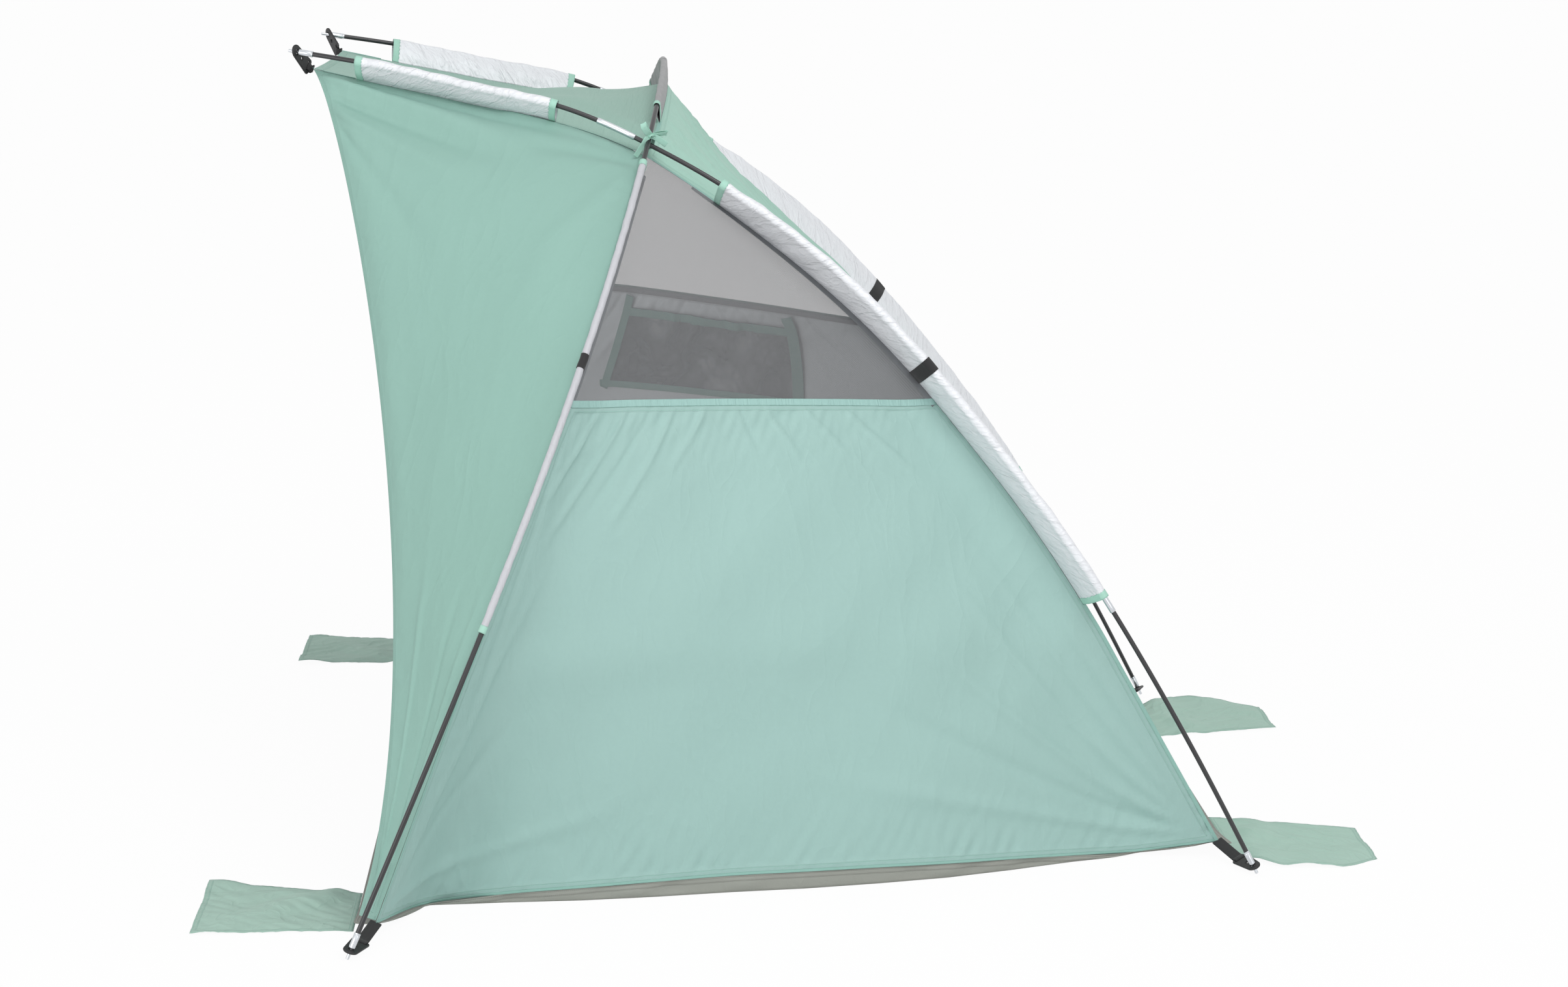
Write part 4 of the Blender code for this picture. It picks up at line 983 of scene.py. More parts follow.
@dataclass(frozen=True)
class Lines:
    """The poles' and seams' lines, worked out from the same sizes as the solids."""

    front_span: float = 2.200
    rear_span: float = 1.214
    foot_depth: float = 1.463
    hoop_height: float = 1.280
    hoop_lean: float = 0.458
    awning_span: float = 0.612
    awning_reach: float = 0.167
    awning_height: float = 1.296
    pole_diameter: float = 0.0079
    hub_clearance: float = 0.0007
    hub_from_foot: float = 1.471
    leg_hem_place: float = 0.909
    rear_hem_place: float = 1.270
    hub_seam_drop: float = 0.0225
    front_band: float = 0.030
    rear_band: float = 0.055
    leg_band: float = 0.013
    ridge_band: float = 0.042
    leg_sleeve_start: float = 0.524
    rear_sleeve_end: float = 1.691
    corner_height: float = 0.030
    middle: float = 0.720
    front_extra: tuple[float, ...] = (0.0, 0.007, 0.013, 0.014, 0.013, 0.013, 0.013, 0.008, 0.0)
    rear_extra: tuple[float, ...] = (0.0, 0.008, 0.011, 0.014, 0.012, 0.007, 0.002)
    awning_steps: int = 8
    upper_steps: int = 7
    lower_steps: int = 12
    ridge_steps: int = 12
    dense: int = 1600

    def hoop(self) -> Rail:
        """The transverse pole from the right foot to the left: a quartic Bezier half and its mirror image."""
        shares = ((1.0, 0.0, 0.0), (0.9035, 0.424, 0.381), (0.8165, 0.825, 0.709))
        shares += ((0.4594, 0.993, 1.0), (0.0, 1.0, 1.0))
        scale = np.array([self.front_span / 2.0, self.hoop_lean, self.hoop_height])
        right = bezier(np.array(shares) * scale, np.linspace(0.0, 1.0, self.dense))
        points = np.concatenate([right, (right * MIRROR)[::-1][1:]])
        return Rail.through(points, (0.0, 1.0, -0.36))

    def side(self, hoop: Rail) -> tuple[Rail, float, Array]:
        """The side pole: a natural spline through measured places, passing inside the hoop.

        Args:
            hoop: The transverse pole's line.

        Returns:
            The line, the hub's place on it and the direction from the hub into the tent.
        """
        tip = np.array([self.awning_span / 2.0, -self.awning_reach, self.awning_height])
        foot = np.array([self.rear_span / 2.0, self.foot_depth, 0.0])
        before = ((0.0, 0.0, 0.0), (0.3412, 0.3612, 0.2316), (0.5248, 0.5440, 0.3930))
        before += ((0.7368, 0.7367, 0.5484),)
        after = ((0.1193, 0.0599, 0.0249), (0.2596, 0.1617, 0.0756), (0.4847, 0.3589, 0.2103))
        after += ((0.6494, 0.5042, 0.3461), (0.7717, 0.6544, 0.5069), (0.8614, 0.8178, 0.7199))
        after += ((0.9185, 0.9033, 0.8463), (1.0, 1.0, 1.0))
        before, after = np.array(before), np.array(after)
        hub = hoop.at(self.hub_from_foot)
        across = hoop.frame_at(self.hub_from_foot)[0]
        chord = hub + (foot - hub) * after[0] - tip - (hub - tip) * before[-1]
        inner = unit(np.cross(across, unit(chord)))
        inner = -inner * np.sign(inner[2])
        crossing = hub + inner * (self.pole_diameter + self.hub_clearance)
        ahead = tip + (crossing - tip) * before
        behind = crossing + (foot - crossing) * after
        knots = np.vstack([ahead, crossing, behind])
        way = run_along(knots)
        points = natural_spline(way, knots, np.linspace(0.0, way[-1], self.dense))
        rail = Rail.through(points, (1.0, 0.0, 0.0))
        nearest = int(np.argmin(np.linalg.norm(points - crossing, axis=1)))
        return rail, float(rail.run[nearest]), inner


@dataclass
class Layout:
    """All lines of the tent's right side: rails, corners and the coarse chains of the seams."""

    lines: Lines = field(default_factory=Lines)

    def __post_init__(self) -> None:
        """Work the lines out in the same order as the solids."""
        size = self.lines
        self.hoop = size.hoop()
        self.side, self.hub_place, self.inner = size.side(self.hoop)
        self.heart = np.array([0.0, 0.376 * size.foot_depth, 0.547 * size.hoop_height])
        tip = (size.awning_span / 2.0 - 0.022, 0.040 - size.awning_reach, size.awning_height - 0.030)
        self.awning = np.array(tip)
        self.front = np.array([size.front_span / 2.0 - 0.088, 0.037, size.corner_height])
        self.rear = np.array([size.rear_span / 2.0 - 0.090, size.foot_depth - 0.053, size.corner_height])
        self.junction = self.side.at(self.hub_place) + self.inner * size.hub_seam_drop
        self.ahead = np.linspace(0.0, self.hub_place, size.awning_steps + 1)
        upper = np.linspace(self.hub_place, size.rear_hem_place, size.upper_steps + 1)
        lower = np.linspace(size.rear_hem_place, self.side.length, size.lower_steps + 1)
        self.behind = np.concatenate([upper, lower[1:]])
        lower = np.linspace(0.0, size.leg_hem_place, size.lower_steps + 1)
        upper = np.linspace(size.leg_hem_place, size.hub_from_foot, size.upper_steps + 1)
        self.down = np.concatenate([lower, upper[1:]])[::-1]
        far_hub = self.hoop.length - size.hub_from_foot
        self.over = np.linspace(size.hub_from_foot, far_hub, size.ridge_steps + 1)
        band = size.front_band + np.array(size.front_extra)[:, None]
        self.front_line = self.side.at(self.ahead) + self.inward(self.side, self.ahead) * band
        self.front_line[0] = self.awning
        self.front_line[-1] = self.junction
        rear_shares = ((0.0, 0.41), (0.06, 0.76), (0.14, 0.92), (0.35, 1.02), (0.67, 1.06), (1.0, 1.06))
        self.rear_line = self.seam(self.side, self.behind, size.rear_band, rear_shares)
        extra = np.array(size.rear_extra)[:, None]
        self.rear_line[: len(extra)] += self.inward(self.side, self.behind[: len(extra)]) * extra
        held = int(np.searchsorted(self.behind, size.rear_sleeve_end))
        self.rear_line = self.straight(self.rear_line, held, self.rear)
        leg_shares = ((0.0, 1.75), (0.05, 1.15), (0.2, 1.0), (0.6, 1.05), (0.8, 1.4), (1.0, 1.9))
        self.leg_line = self.seam(self.hoop, self.down, size.leg_band, leg_shares)
        held = int(np.searchsorted(-self.down, -size.leg_sleeve_start))
        self.leg_line = self.straight(self.leg_line, held, self.front)
        half = (self.over[-1] - self.over[0]) / 2.0
        near = 1.0 - np.abs(self.over - self.over[0] - half) / half
        factor = np.interp(near, (0.0, 0.27, 0.6, 1.0), (0.54, 0.78, 0.95, 1.0))[:, None]
        band = size.ridge_band * factor
        self.ridge_line = self.hoop.at(self.over) + self.inward(self.hoop, self.over) * band
        self.ridge_line[0] = self.junction
        self.ridge_line[-1] = self.junction * MIRROR

    def ends(self) -> tuple[tuple[str, Rail, float, float], ...]:
        """The three pinned ends of each side: name, rail, the tip's place on it and the way inwards."""
        return (
            ("front", self.hoop, 0.0, 1.0),
            ("rear", self.side, self.side.length, -1.0),
            ("awning", self.side, 0.0, 1.0),
        )

    def inward(self, rail: Rail, places: Array) -> Array:
        """Unit directions from a pole towards the tent's heart, square to the pole."""
        along = rail.frame_at(places)[0]
        return square(self.heart - rail.at(places), along)

    def seam(self, rail: Rail, places: Array, width: float, shares: tuple) -> Array:
        """A seam beside a pole: the pole's point plus its inward direction times a splined width.

        Args:
            rail: The pole's line.
            places: Places along it, from the hub on.
            width: The width at a share of one.
            shares: Pairs of the share of the way and the share of the width.

        Returns:
            The seam's points, starting at the hub's junction.
        """
        spread = (places - places[0]) / (places[-1] - places[0])
        table = np.array(shares)
        factor = natural_spline(table[:, 0], table[:, 1], spread)
        points = rail.at(places) + self.inward(rail, places) * width * factor
        points[0] = self.junction
        return points

    @staticmethod
    def straight(points: Array, held: int, end: Array) -> Array:
        """A chain whose points after one are moved to the straight way to its end."""
        rest = np.linspace(0.0, 1.0, len(points) - held)[:, None]
        return np.concatenate([points[:held], points[held] + (end - points[held]) * rest])

    @staticmethod
    def seam_rail(places: Array, chain: Array) -> tuple[Array, Array]:
        """A seam's smooth points with their places along the pole.

        Args:
            places: The coarse places, growing.
            chain: The coarse points.

        Returns:
            Dense places and dense points.
        """
        where = np.linspace(0.0, len(chain) - 1.0, 40 * (len(chain) - 1) + 1)
        return smooth_rows(places[:, None], where)[:, 0], smooth_rows(chain, where)


def placed(points: Array, side: Side = Side.RIGHT) -> Array:
    """Points moved from the drawing's origin to the tent's, and mirrored for the left side."""
    return points * np.array([side.value, 1.0, 1.0]) - np.array([0.0, Lines.middle, 0.0])


def coons(top: Array, bottom: Array, left: Array, right: Array) -> Array:
    """A Coons patch: the blend of top and bottom, plus that of left and right, less that of the corners."""
    columns = np.linspace(0.0, 1.0, len(top))[None, :, None]
    rows = np.linspace(0.0, 1.0, len(left))[:, None, None]
    across = (1.0 - rows) * top[None] + rows * bottom[None]
    down = (1.0 - columns) * left[:, None] + columns * right[:, None]
    corners = (1.0 - rows) * ((1.0 - columns) * top[0] + columns * top[-1])
    return across + down - corners - rows * ((1.0 - columns) * bottom[0] + columns * bottom[-1])


def ruled(left: Array, right: Array, edge: Array, first: bool) -> Array:
    """Straight rows between two chains, plus an edge's own bow times the square of the closeness to it.

    Args:
        left: The left chain, from the first row to the last.
        right: The right chain.
        edge: The points of the bowed row.
        first: Whether the bowed row is the first one or the last.

    Returns:
        The grid.
    """
    columns = np.linspace(0.0, 1.0, len(edge))[None, :, None]
    rows = np.linspace(0.0, 1.0, len(left))[:, None, None]
    grid = (1.0 - columns) * left[:, None] + columns * right[:, None]
    near = 1.0 - rows if first else rows
    return grid + (edge - grid[0 if first else -1])[None] * near**2


def swell(shape: tuple[int, ...], power: float = 1.0, early: float = 1.0) -> Array:
    """A height, zero at the edges: the sine of pi times the share down, times that across, to a power.

    Args:
        shape: The grid's shape.
        power: The outer power, below one for a fuller form.
        early: The power of the share down, below one to bring the peak towards the first row.

    Returns:
        The height at each point.
    """
    rows = np.linspace(0.0, 1.0, shape[0])[:, None] ** early
    columns = np.linspace(0.0, 1.0, shape[1])[None, :]
    return np.clip(np.sin(math.pi * rows) * np.sin(math.pi * columns), 0.0, 1.0) ** power


@dataclass(frozen=True)
class Crease:
    """A soft fold between two places of a panel, given as shares across and down it."""

    start: tuple[float, float]
    end: tuple[float, float]
    height: float
    start_width: float
    end_width: float

    @classmethod
    def table(cls, *rows: tuple[float, ...]) -> "tuple[Crease, ...]":
        """Creases from rows of seven numbers: both places, the height and the two widths."""
        return tuple(cls(row[:2], row[2:4], *row[4:]) for row in rows)

    def lift(self, across: Array, down: Array, size: tuple[float, float]) -> Array:
        """The fold's height: a bell of the distance from its line, wider along it and faded at its ends.

        Args:
            across: Shares across the panel.
            down: Shares down the panel.
            size: The panel's width and height in metres.

        Returns:
            The height at each point.
        """
        first = np.array(self.start) * size
        last = np.array(self.end) * size
        run = last - first
        length = float(np.linalg.norm(run))
        ahead = run / length
        local_x = across * size[0] - first[0]
        local_y = down * size[1] - first[1]
        share = (local_x * ahead[0] + local_y * ahead[1]) / length
        off = -local_x * ahead[1] + local_y * ahead[0]
        width = self.start_width + (self.end_width - self.start_width) * np.clip(share, 0.0, 1.0)
        ends = ease(share, -0.05, 0.12) * (1.0 - ease(share, 0.6, 1.1))
        return self.height * np.exp(-((off / width) ** 2)) * ends


def both_ways(*creases: Crease) -> tuple[Crease, ...]:
    """Creases, each with its mirror image across the panel's middle."""
    made = []
    for crease in creases:
        flipped = [(1.0 - place[0], place[1]) for place in (crease.start, crease.end)]
        made += [crease, Crease(*flipped, crease.height, crease.start_width, crease.end_width)]
    return tuple(made)


@dataclass
class Panel:
    """A cut panel of cloth: a coarse grid drawn from the seams, made dense, folded and hemmed."""

    name: str
    coarse: Array
    pitch: float = 0.008
    hem: float = 0.012
    hem_rise: float = 0.0006
    creases: tuple[Crease, ...] = ()
    gather: tuple[float, float, float, float] = (0.0, 0.0, 0.0, 0.0)
    gather_pitch: float = 0.022
    gather_reach: float = 0.045
    billow: float = 0.0012
    billow_pitch: float = 0.14
    pucker: float = 0.00035
    seed: int = 1

    def spread(self, count: int, length: float) -> Array:
        """Fine positions along one direction: even steps, with more of them across each edge's hem.

        Args:
            count: Coarse steps.
            length: The length in metres.

        Returns:
            Positions in coarse steps.
        """
        even = np.linspace(0.0, 1.0, max(8, int(round(length / self.pitch))))
        hem = (self.hem - HEM_STEP, self.hem + HEM_STEP, self.hem + 0.0035)
        edge = np.array([0.0, 0.0015, 0.004, 0.008, *hem]) / length
        inner = even[(even > edge[-1] * 1.15) & (even < 1.0 - edge[-1] * 1.15)]
        return np.concatenate([edge, inner, 1.0 - edge[::-1]]) * count

    def dense(self) -> Array:
        """The panel's fine grid before its folds."""
        rows, columns = self.coarse.shape[:2]
        high = float(run_along(self.coarse, 0)[-1].max())
        wide = float(run_along(self.coarse, 1)[:, -1].max())
        return smooth_grid(self.coarse, self.spread(rows - 1, high), self.spread(columns - 1, wide))

    def shaped(self, grid: Array, inside: Array) -> tuple[Array, dict[str, Array]]:
        """The grid with its folds, gathers and hems, and its UV layers.

        The lift along the normals is the sum of the creases, of sine gathers that fade exponentially from
        their edge, of a soft random billow that fades to the edges, and of the hem's step.

        Args:
            grid: The fine grid.
            inside: A point inside the tent, from which the cloth's face looks away.

        Returns:
            The shaped grid and its layers cloth and hem, both in metres.
        """
        away, along, layers = surface_runs(grid)
        across, down = along[0], along[2]
        wide = np.maximum(across[:, -1:], MERGED)
        high = np.maximum(down[-1:], MERGED)
        normals = turned_to(grid_normals(grid), grid - inside)
        size = (float(wide.max()), float(high.max()))
        lift = np.zeros(grid.shape[:2])
        for crease in self.creases:
            lift += crease.lift(across / wide, down / high, size)
        for k in range(4):
            if self.gather[k]:
                wobble = soft_noise(along[k], away[k] * 0.35, self.gather_pitch, self.seed + 10 + k)
                fade = np.exp(-away[k] / self.gather_reach) * ease(away[k], 0.003, 0.022)
                lift += self.gather[k] * wobble * fade
        edge_fade = np.prod([ease(distance, 0.0, 0.10) for distance in away], axis=0)
        lift += self.billow * soft_noise(across, down, self.billow_pitch, self.seed) * edge_fade
        nearest = np.min(away, axis=0)
        puckers = self.pucker * soft_noise(across, down, 0.016, self.seed + 3) * np.exp(-nearest / 0.02)
        lift += puckers * ease(nearest, 0.0, 0.004)
        lift += self.hem_rise * (1.0 - ease(nearest, self.hem - HEM_STEP, self.hem + HEM_STEP))
        return grid + normals * lift[..., None], layers

    def build(
        self,
        node: str,
        side: Side,
        finishes: list[Material],
        inside: Array,
        held: Held,
        slot: Slot = Slot.MINT,
        thickness: float = 0.0007,
        rests_on: tuple[str, ...] = (),
    ) -> None:
        """The finished piece, riding on the tent, with its size logged.

        Args:
            node: The solid that it replaces.
            side: The tent's side.
            finishes: The outer and the inner material.
            inside: A point inside the tent.
            held: How the cloth is held.
            slot: The record's slot.
            thickness: The cloth's thickness in metres.
            rests_on: What holds it.
        """
        shaped, layers = self.shaped(self.dense(), inside)
        piece = sheet_piece(self.name, shaped, side, finishes, layers, inside, thickness)
        declare_sheet(stand(piece, slot, node), shaped, held, rests_on=list(rests_on))


# Sewn tapes


def tape_along(
    name: str,
    path: tuple[Array, Array, Array],
    section: tuple[float, float],
    side: Side,
    finish: Material,
    slot: Slot = Slot.MINT,
) -> Piece:
    """A tape's section carried along a path and closed at both ends.

    Args:
        name: The piece's name.
        path: The path's points, and the directions of the tape's width and thickness there.
        section: The tape's width and thickness.
        side: The tent's side.
        finish: Its material.
        slot: The record's slot.

    Returns:
        The piece, riding on the tent.
    """
    centre, across, up = path
    profile = flat_tape(*section)
    grid = swept(centre, np.broadcast_to(across, centre.shape), up, profile)
    first, last = (np.repeat(centre[[k], None], TAPE_SIDES, 1) for k in (0, -1))
    grid = np.concatenate([first, grid, last])
    run = np.concatenate([[0.0], run_along(centre), [0.0]])[:, None] * np.ones((1, TAPE_SIDES + 1))
    edge = np.concatenate([profile[:, 0], profile[:1, 0]])[None] * np.ones((len(grid), 1))
    layers = {"cloth": np.stack([run, edge + section[0]], axis=-1)}
    return stand(mesh_piece(name, placed(grid, side), [finish], layers, closed=True), slot)


def tape_strip(
    name: str,
    lines: tuple[Array, Array, Array],
    width: float,
    side: Side,
    finish: Material,
    lift: float,
    shift: float = 0.0,
) -> Piece:
    """A sewn tape that follows an edge, lying on the cloth.

    Args:
        name: The piece's name.
        lines: Points of the edge, points beside them further into the cloth, and points on the tape's side.
        width: The tape's width.
        side: The tent's side.
        finish: Its material.
        lift: How far its middle lies above the cloth.
        shift: How far its edge lies outside the cloth's.

    Returns:
        The piece, riding on the tent.
    """
    edge, inner, toward = lines
    ahead = unit(np.gradient(edge, axis=0))
    into = square(inner - edge, ahead)
    up = turned_to(np.cross(ahead, into), toward - edge)
    centre = edge + into * (width / 2.0 - shift) + up * lift
    return tape_along(name, (centre, into, up), (width, TAPE_THICKNESS), side, finish)


# Poles and steel


@dataclass(frozen=True)
class Poles:
    """The hoop and the two side poles in their sections, with ferrules and stepped pins."""

    layout: Layout
    finishes: Finishes
    sections: int = 6
    bevel: float = 0.0004
    step: float = 0.012
    crimp_length: float = 0.0016
    crimp_depth: float = 0.0005
    joint_gap: float = 0.0003
    ferrule_diameter: float = 0.0100
    ferrule_length: float = 0.068
    hidden_ferrule: float = 0.060
    pin_diameter: float = 0.0053
    pin_length: float = 0.0190
    barrel_length: float = 0.0240
    barrel_floor: float = 0.0060
    toe_in: float = 0.0014
    joints: tuple[float, ...] = (0.565, 1.130, 1.685)
    sides: int = 24

    def turned(
        self,
        name: str,
        rail: Rail,
        chain: list[tuple[float, float]],
        side: Side,
        finish: Material,
        dimple: float | None = None,
    ) -> Piece:
        """A turned piece: rings of a given radius about a line, closed by rings of no radius at its ends.

        Args:
            name: The piece's name.
            rail: The line.
            chain: Pairs of place and radius.
            side: The tent's side.
            finish: Its material.
            dimple: The place of a small crimp that dips one flank, or none.

        Returns:
            The piece.
        """
        steps = []
        knots = np.array(chain)
        for start, end in zip(knots[:-1], knots[1:]):
            count = max(1, int(math.ceil(abs(end[0] - start[0]) / self.step)))
            steps.append(start + (end - start) * (np.arange(count) / count)[:, None])
        table = np.concatenate([*steps, knots[-1:]])
        places, radii = table[:, 0], table[:, 1]
        _, first, second = rail.frame_at(places)
        ring = circle(self.sides)
        profile = radii[:, None, None] * ring
        if dimple is not None:
            turn = np.arange(self.sides) * (2.0 * math.pi / self.sides)
            off = (places[:, None] - dimple) / self.crimp_length
            near = np.exp(-(off**2) - ((turn[None] - 0.6) / 0.35) ** 2)
            profile = profile - self.crimp_depth * near[..., None] * ring
        grid = swept(rail.at(places), first, second, profile)
        run = np.repeat(places[:, None], self.sides + 1, axis=1)
        around = np.linspace(0.0, math.pi * self.ferrule_diameter, self.sides + 1)[None]
        around = np.repeat(around, len(places), axis=0)
        layers = {"cloth": np.stack([run, around], axis=-1)}
        piece = mesh_piece(name, placed(grid, side), [finish], layers, closed=True)
        piece.data.set_sharp_from_angle(angle=math.radians(38.0))
        return piece

    def solid_chain(self, low: float, high: float, radius: float) -> list[tuple[float, float]]:
        """Places and radii of a plain rod with softened ends."""
        bevel = self.bevel
        chain = [(low, 0.0), (low, radius - bevel), (low + bevel, radius)]
        return chain + [(high - bevel, radius), (high, radius - bevel), (high, 0.0)]

    def cup_chain(self, low: float, high: float, radius: float) -> list[tuple[float, float]]:
        """Places and radii of a section with a ferrule on its far end, whose bore takes the next one."""
        reach = self.hidden_ferrule / 2.0
        outer = self.ferrule_diameter / 2.0
        hole = radius + self.joint_gap
        bevel, near, far = self.bevel, high - reach, high + reach
        chain = [(low, 0.0), (low, radius - bevel), (low + bevel, radius), (near, radius)]
        chain += [(near, outer - bevel), (near + 0.0006, outer), (far - 0.0006, outer)]
        return chain + [(far, outer - 0.0003), (far, hole), (high, hole), (high, 0.0)]

    def tube_chain(self, low: float, high: float, radius: float) -> list[tuple[float, float]]:
        """Places and radii of a tube over a pole: out along its skin and back along its bore."""
        outer = self.ferrule_diameter / 2.0
        chain = [(low, radius), (low, outer - self.bevel), (low + 0.0006, outer)]
        return chain + [(high - 0.0006, outer), (high, outer - self.bevel), (high, radius)]

    def pin_chain(self, tip: float, way: float, radius: float) -> list[tuple[float, float]]:
        """Places and radii of a stepped pin: a thin nose, a shoulder and a barrel with a rolled rim."""
        pin = self.pin_diameter / 2.0
        outer = self.ferrule_diameter / 2.0
        hole = radius + self.joint_gap
        shoulder = self.pin_length
        top = shoulder + self.barrel_length
        toe = self.toe_in
        floor = shoulder + self.barrel_floor
        places = [(toe, 0.0), (toe, pin - 0.0007), (toe + 0.0007, pin), (shoulder - 0.0004, pin)]
        places += [(shoulder, pin + 0.0003), (shoulder, outer - 0.0009), (shoulder + 0.0009, outer)]
        places += [(top - 0.0035, outer), (top - 0.0030, outer - 0.0003), (top - 0.0025, outer)]
        places += [(top - 0.0005, outer), (top, outer - 0.0004), (top, hole), (floor, hole), (floor, 0.0)]
        return [(tip + way * place, wide) for place, wide in places]

    def build(self) -> None:
        """All sections, ferrules and pins."""
        hoop, side_rail = self.layout.hoop, self.layout.side
        radius = self.layout.lines.pole_diameter / 2.0
        start = self.pin_length + self.barrel_floor + self.joint_gap
        pitch = hoop.length / self.sections
        for index in range(self.sections):
            low = start if index == 0 else pitch * index + self.joint_gap
            last = index == self.sections - 1
            high = hoop.length - start if last else pitch * (index + 1)
            chain = (self.solid_chain if last else self.cup_chain)(low, high, radius)
            piece = self.turned(f"hoop_pole_{index + 1}", hoop, chain, Side.RIGHT, self.finishes.pole)
            stand(piece, Slot.POLE, f"hoop_pole_section_{index + 1}")
        places = [start, *self.joints, side_rail.length - start]
        for side in Side:
            for index in range(len(places) - 1):
                low = places[index] + (self.joint_gap if index else 0.0)
                high = places[index + 1] - (self.joint_gap if index in (0, 2) else 0.0)
                chain = (self.cup_chain if index == 1 else self.solid_chain)(low, high, radius)
                name = f"side_pole_{index + 1}_{side.word}"
                piece = self.turned(name, side_rail, chain, side, self.finishes.pole)
                stand(piece, Slot.POLE, f"side_pole_section_{index + 1}_{side.word}")
            half = self.ferrule_length / 2.0
            for word, place in (("front", self.joints[0]), ("rear", self.joints[2])):
                chain = self.tube_chain(place - half, place + half, radius)
                name = f"{word}_tube_{side.word}"
                piece = self.turned(name, side_rail, chain, side, self.finishes.steel, place + 0.004)
                stand(piece, Slot.STEEL, f"{word}_ferrule_{side.word}")
            for word, rail, tip, way in self.layout.ends():
                chain = self.pin_chain(tip, way, radius)
                dimple = tip + way * (self.pin_length + 0.012)
                piece = self.turned(f"{word}_pin_{side.word}", rail, chain, side, self.finishes.steel, dimple)
                stand(piece, Slot.STEEL, f"{word}_pin_ferrule_{side.word}")
        log.info("poles: %d and two times %d sections, ferrules and pins", self.sections, len(places) - 1)


# Corner tabs and webbing


@dataclass(frozen=True)
class Corner:
    """One fabric corner's fitting: a plate on the pin, and webbing from the plate to the cloth."""

    finishes: Finishes
    word: str
    rail: Rail
    tip: float
    way: float
    corner: Array
    thickness: float = 0.0028
    nose_radius: float = 0.0110
    end_width: float = 0.0280
    length: float = 0.0420
    end_radius: float = 0.0040
    pin_hole: float = 0.0080
    small_hole: float = 0.0060
    hole_pitch: float = 0.0165
    bar: float = 0.0044
    pin_length: float = 0.0190
    webbing_width: float = 0.0190
    webbing_thickness: float = 0.0011
    webbing_join: float = 0.0065
    lean: float = 0.5
    toe_in: float = 0.0014
    shoulder_radius: float = 0.0050
    play: float = 0.0004
    bar_play: float = 0.0014
    end_play: float = 0.0010
    edge_bead: float = 0.0009
    eye_bead: float = 0.0007

    def seat(self) -> tuple[Array, Array, Array, Array]:
        """Where the plate sits on its pin.

        It leans by a share from square on the pin, zero, to the way to the corner, one.

        Returns:
            The hole's centre, the plate's direction to the corner, its width and its normal.
        """
        low = self.rail.at(self.tip + self.way * self.toe_in)
        axis = unit(self.rail.at(self.tip + self.way * self.pin_length) - low)
        aim = unit(self.corner - self.rail.at(self.tip))
        along = unit(square(aim, axis) * (1.0 - self.lean) + aim * self.lean)
        wide = unit(np.cross(axis, along))
        normal = np.cross(along, wide)
        tilt = math.acos(min(1.0, abs(float(np.dot(normal, axis)))))
        drop = self.thickness / 2.0 / math.cos(tilt) + self.shoulder_radius * math.tan(tilt) + self.play
        return self.rail.at(self.tip + self.way * (self.pin_length - drop)), along, wide, normal

    def outline(self) -> Array:
        """Points round the plate: the nose's arc, straight flanks and two small end arcs."""
        half = self.end_width / 2.0
        radius = self.end_radius
        nose = np.radians(np.linspace(100.0, 260.0, 25))
        low = np.radians(np.linspace(-80.0, 0.0, 8))
        high = np.radians(np.linspace(0.0, 80.0, 8))
        parts = [
            np.stack([np.cos(nose), np.sin(nose)], axis=-1) * self.nose_radius,
            np.stack([np.cos(low), np.sin(low)], axis=-1) * radius + (self.length - radius, radius - half),
            np.stack([np.cos(high), np.sin(high)], axis=-1) * radius + (self.length - radius, half - radius),
        ]
        return np.concatenate(parts)

    def bead(self, name: str, loop: Array, radius: float, high: float, side: Side) -> None:
        """A rounded bead along a closed loop of the plate: an ellipse carried round the loop.

        Args:
            name: The piece's name.
            loop: Pairs in the plate's plane.
            radius: The bead's half width.
            high: Its half height.
            side: The tent's side.
        """
        origin, along, wide, normal = self.seat()
        back = np.roll(loop, 1, axis=0)
        ahead = np.roll(loop, -1, axis=0)
        tangent = unit(ahead - back)
        aside = np.stack([tangent[:, 1], -tangent[:, 0]], axis=-1)
        centre = origin + loop[:, :1] * along + loop[:, 1:] * wide
        across = aside[:, :1] * along + aside[:, 1:] * wide
        up = np.broadcast_to(normal, across.shape)
        grid = swept(centre, across, up, circle(12) * np.array([radius, high]))
        grid = np.concatenate([grid, grid[:1]])
        stand(mesh_piece(name, placed(grid, side), [self.finishes.plastic], closed=True), Slot.PLASTIC)

    @staticmethod
    def ring(middle: float, radius: float) -> Array:
        """A round loop in the plate's plane."""
        return circle(28) * radius + (middle, 0.0)

    def strap_path(self) -> tuple[Array, Array]:
        """The webbing's path in the plate's length and height: from the corner, round the bar and back."""
        origin, along, _, normal = self.seat()
        aim = self.corner - origin
        end = np.array([float(np.dot(aim, along)), float(np.dot(aim, normal))])
        half = self.thickness / 2.0 + self.webbing_thickness * 0.75
        left = self.length - self.bar - self.bar_play
        right = self.length + self.end_play
        ahead = unit(end - np.array([right + 0.004, 0.0]))
        aside = np.array([-ahead[1], ahead[0]])
        layer = self.webbing_thickness * 0.62
        join = np.array([right + self.webbing_join, 0.0]) + ahead * 0.002
        control = [end - aside * layer, (end + join) / 2.0 - aside * layer, join - aside * (layer + 0.0002)]
        control += [np.array([right, -half]), np.array([left + 0.0012, -half]), np.array([left, 0.0])]
        control += [np.array([left + 0.0012, half]), np.array([right, half]), join + aside * (layer + 0.0002)]
        control += [(end + join) / 2.0 + aside * layer, end + aside * layer]
        chain = np.array(control)
        path = smooth_rows(chain, np.linspace(0.0, len(chain) - 1.0, 90))
        tangent = unit(np.gradient(path, axis=0))
        return path, np.stack([-tangent[:, 1], tangent[:, 0]], axis=-1)

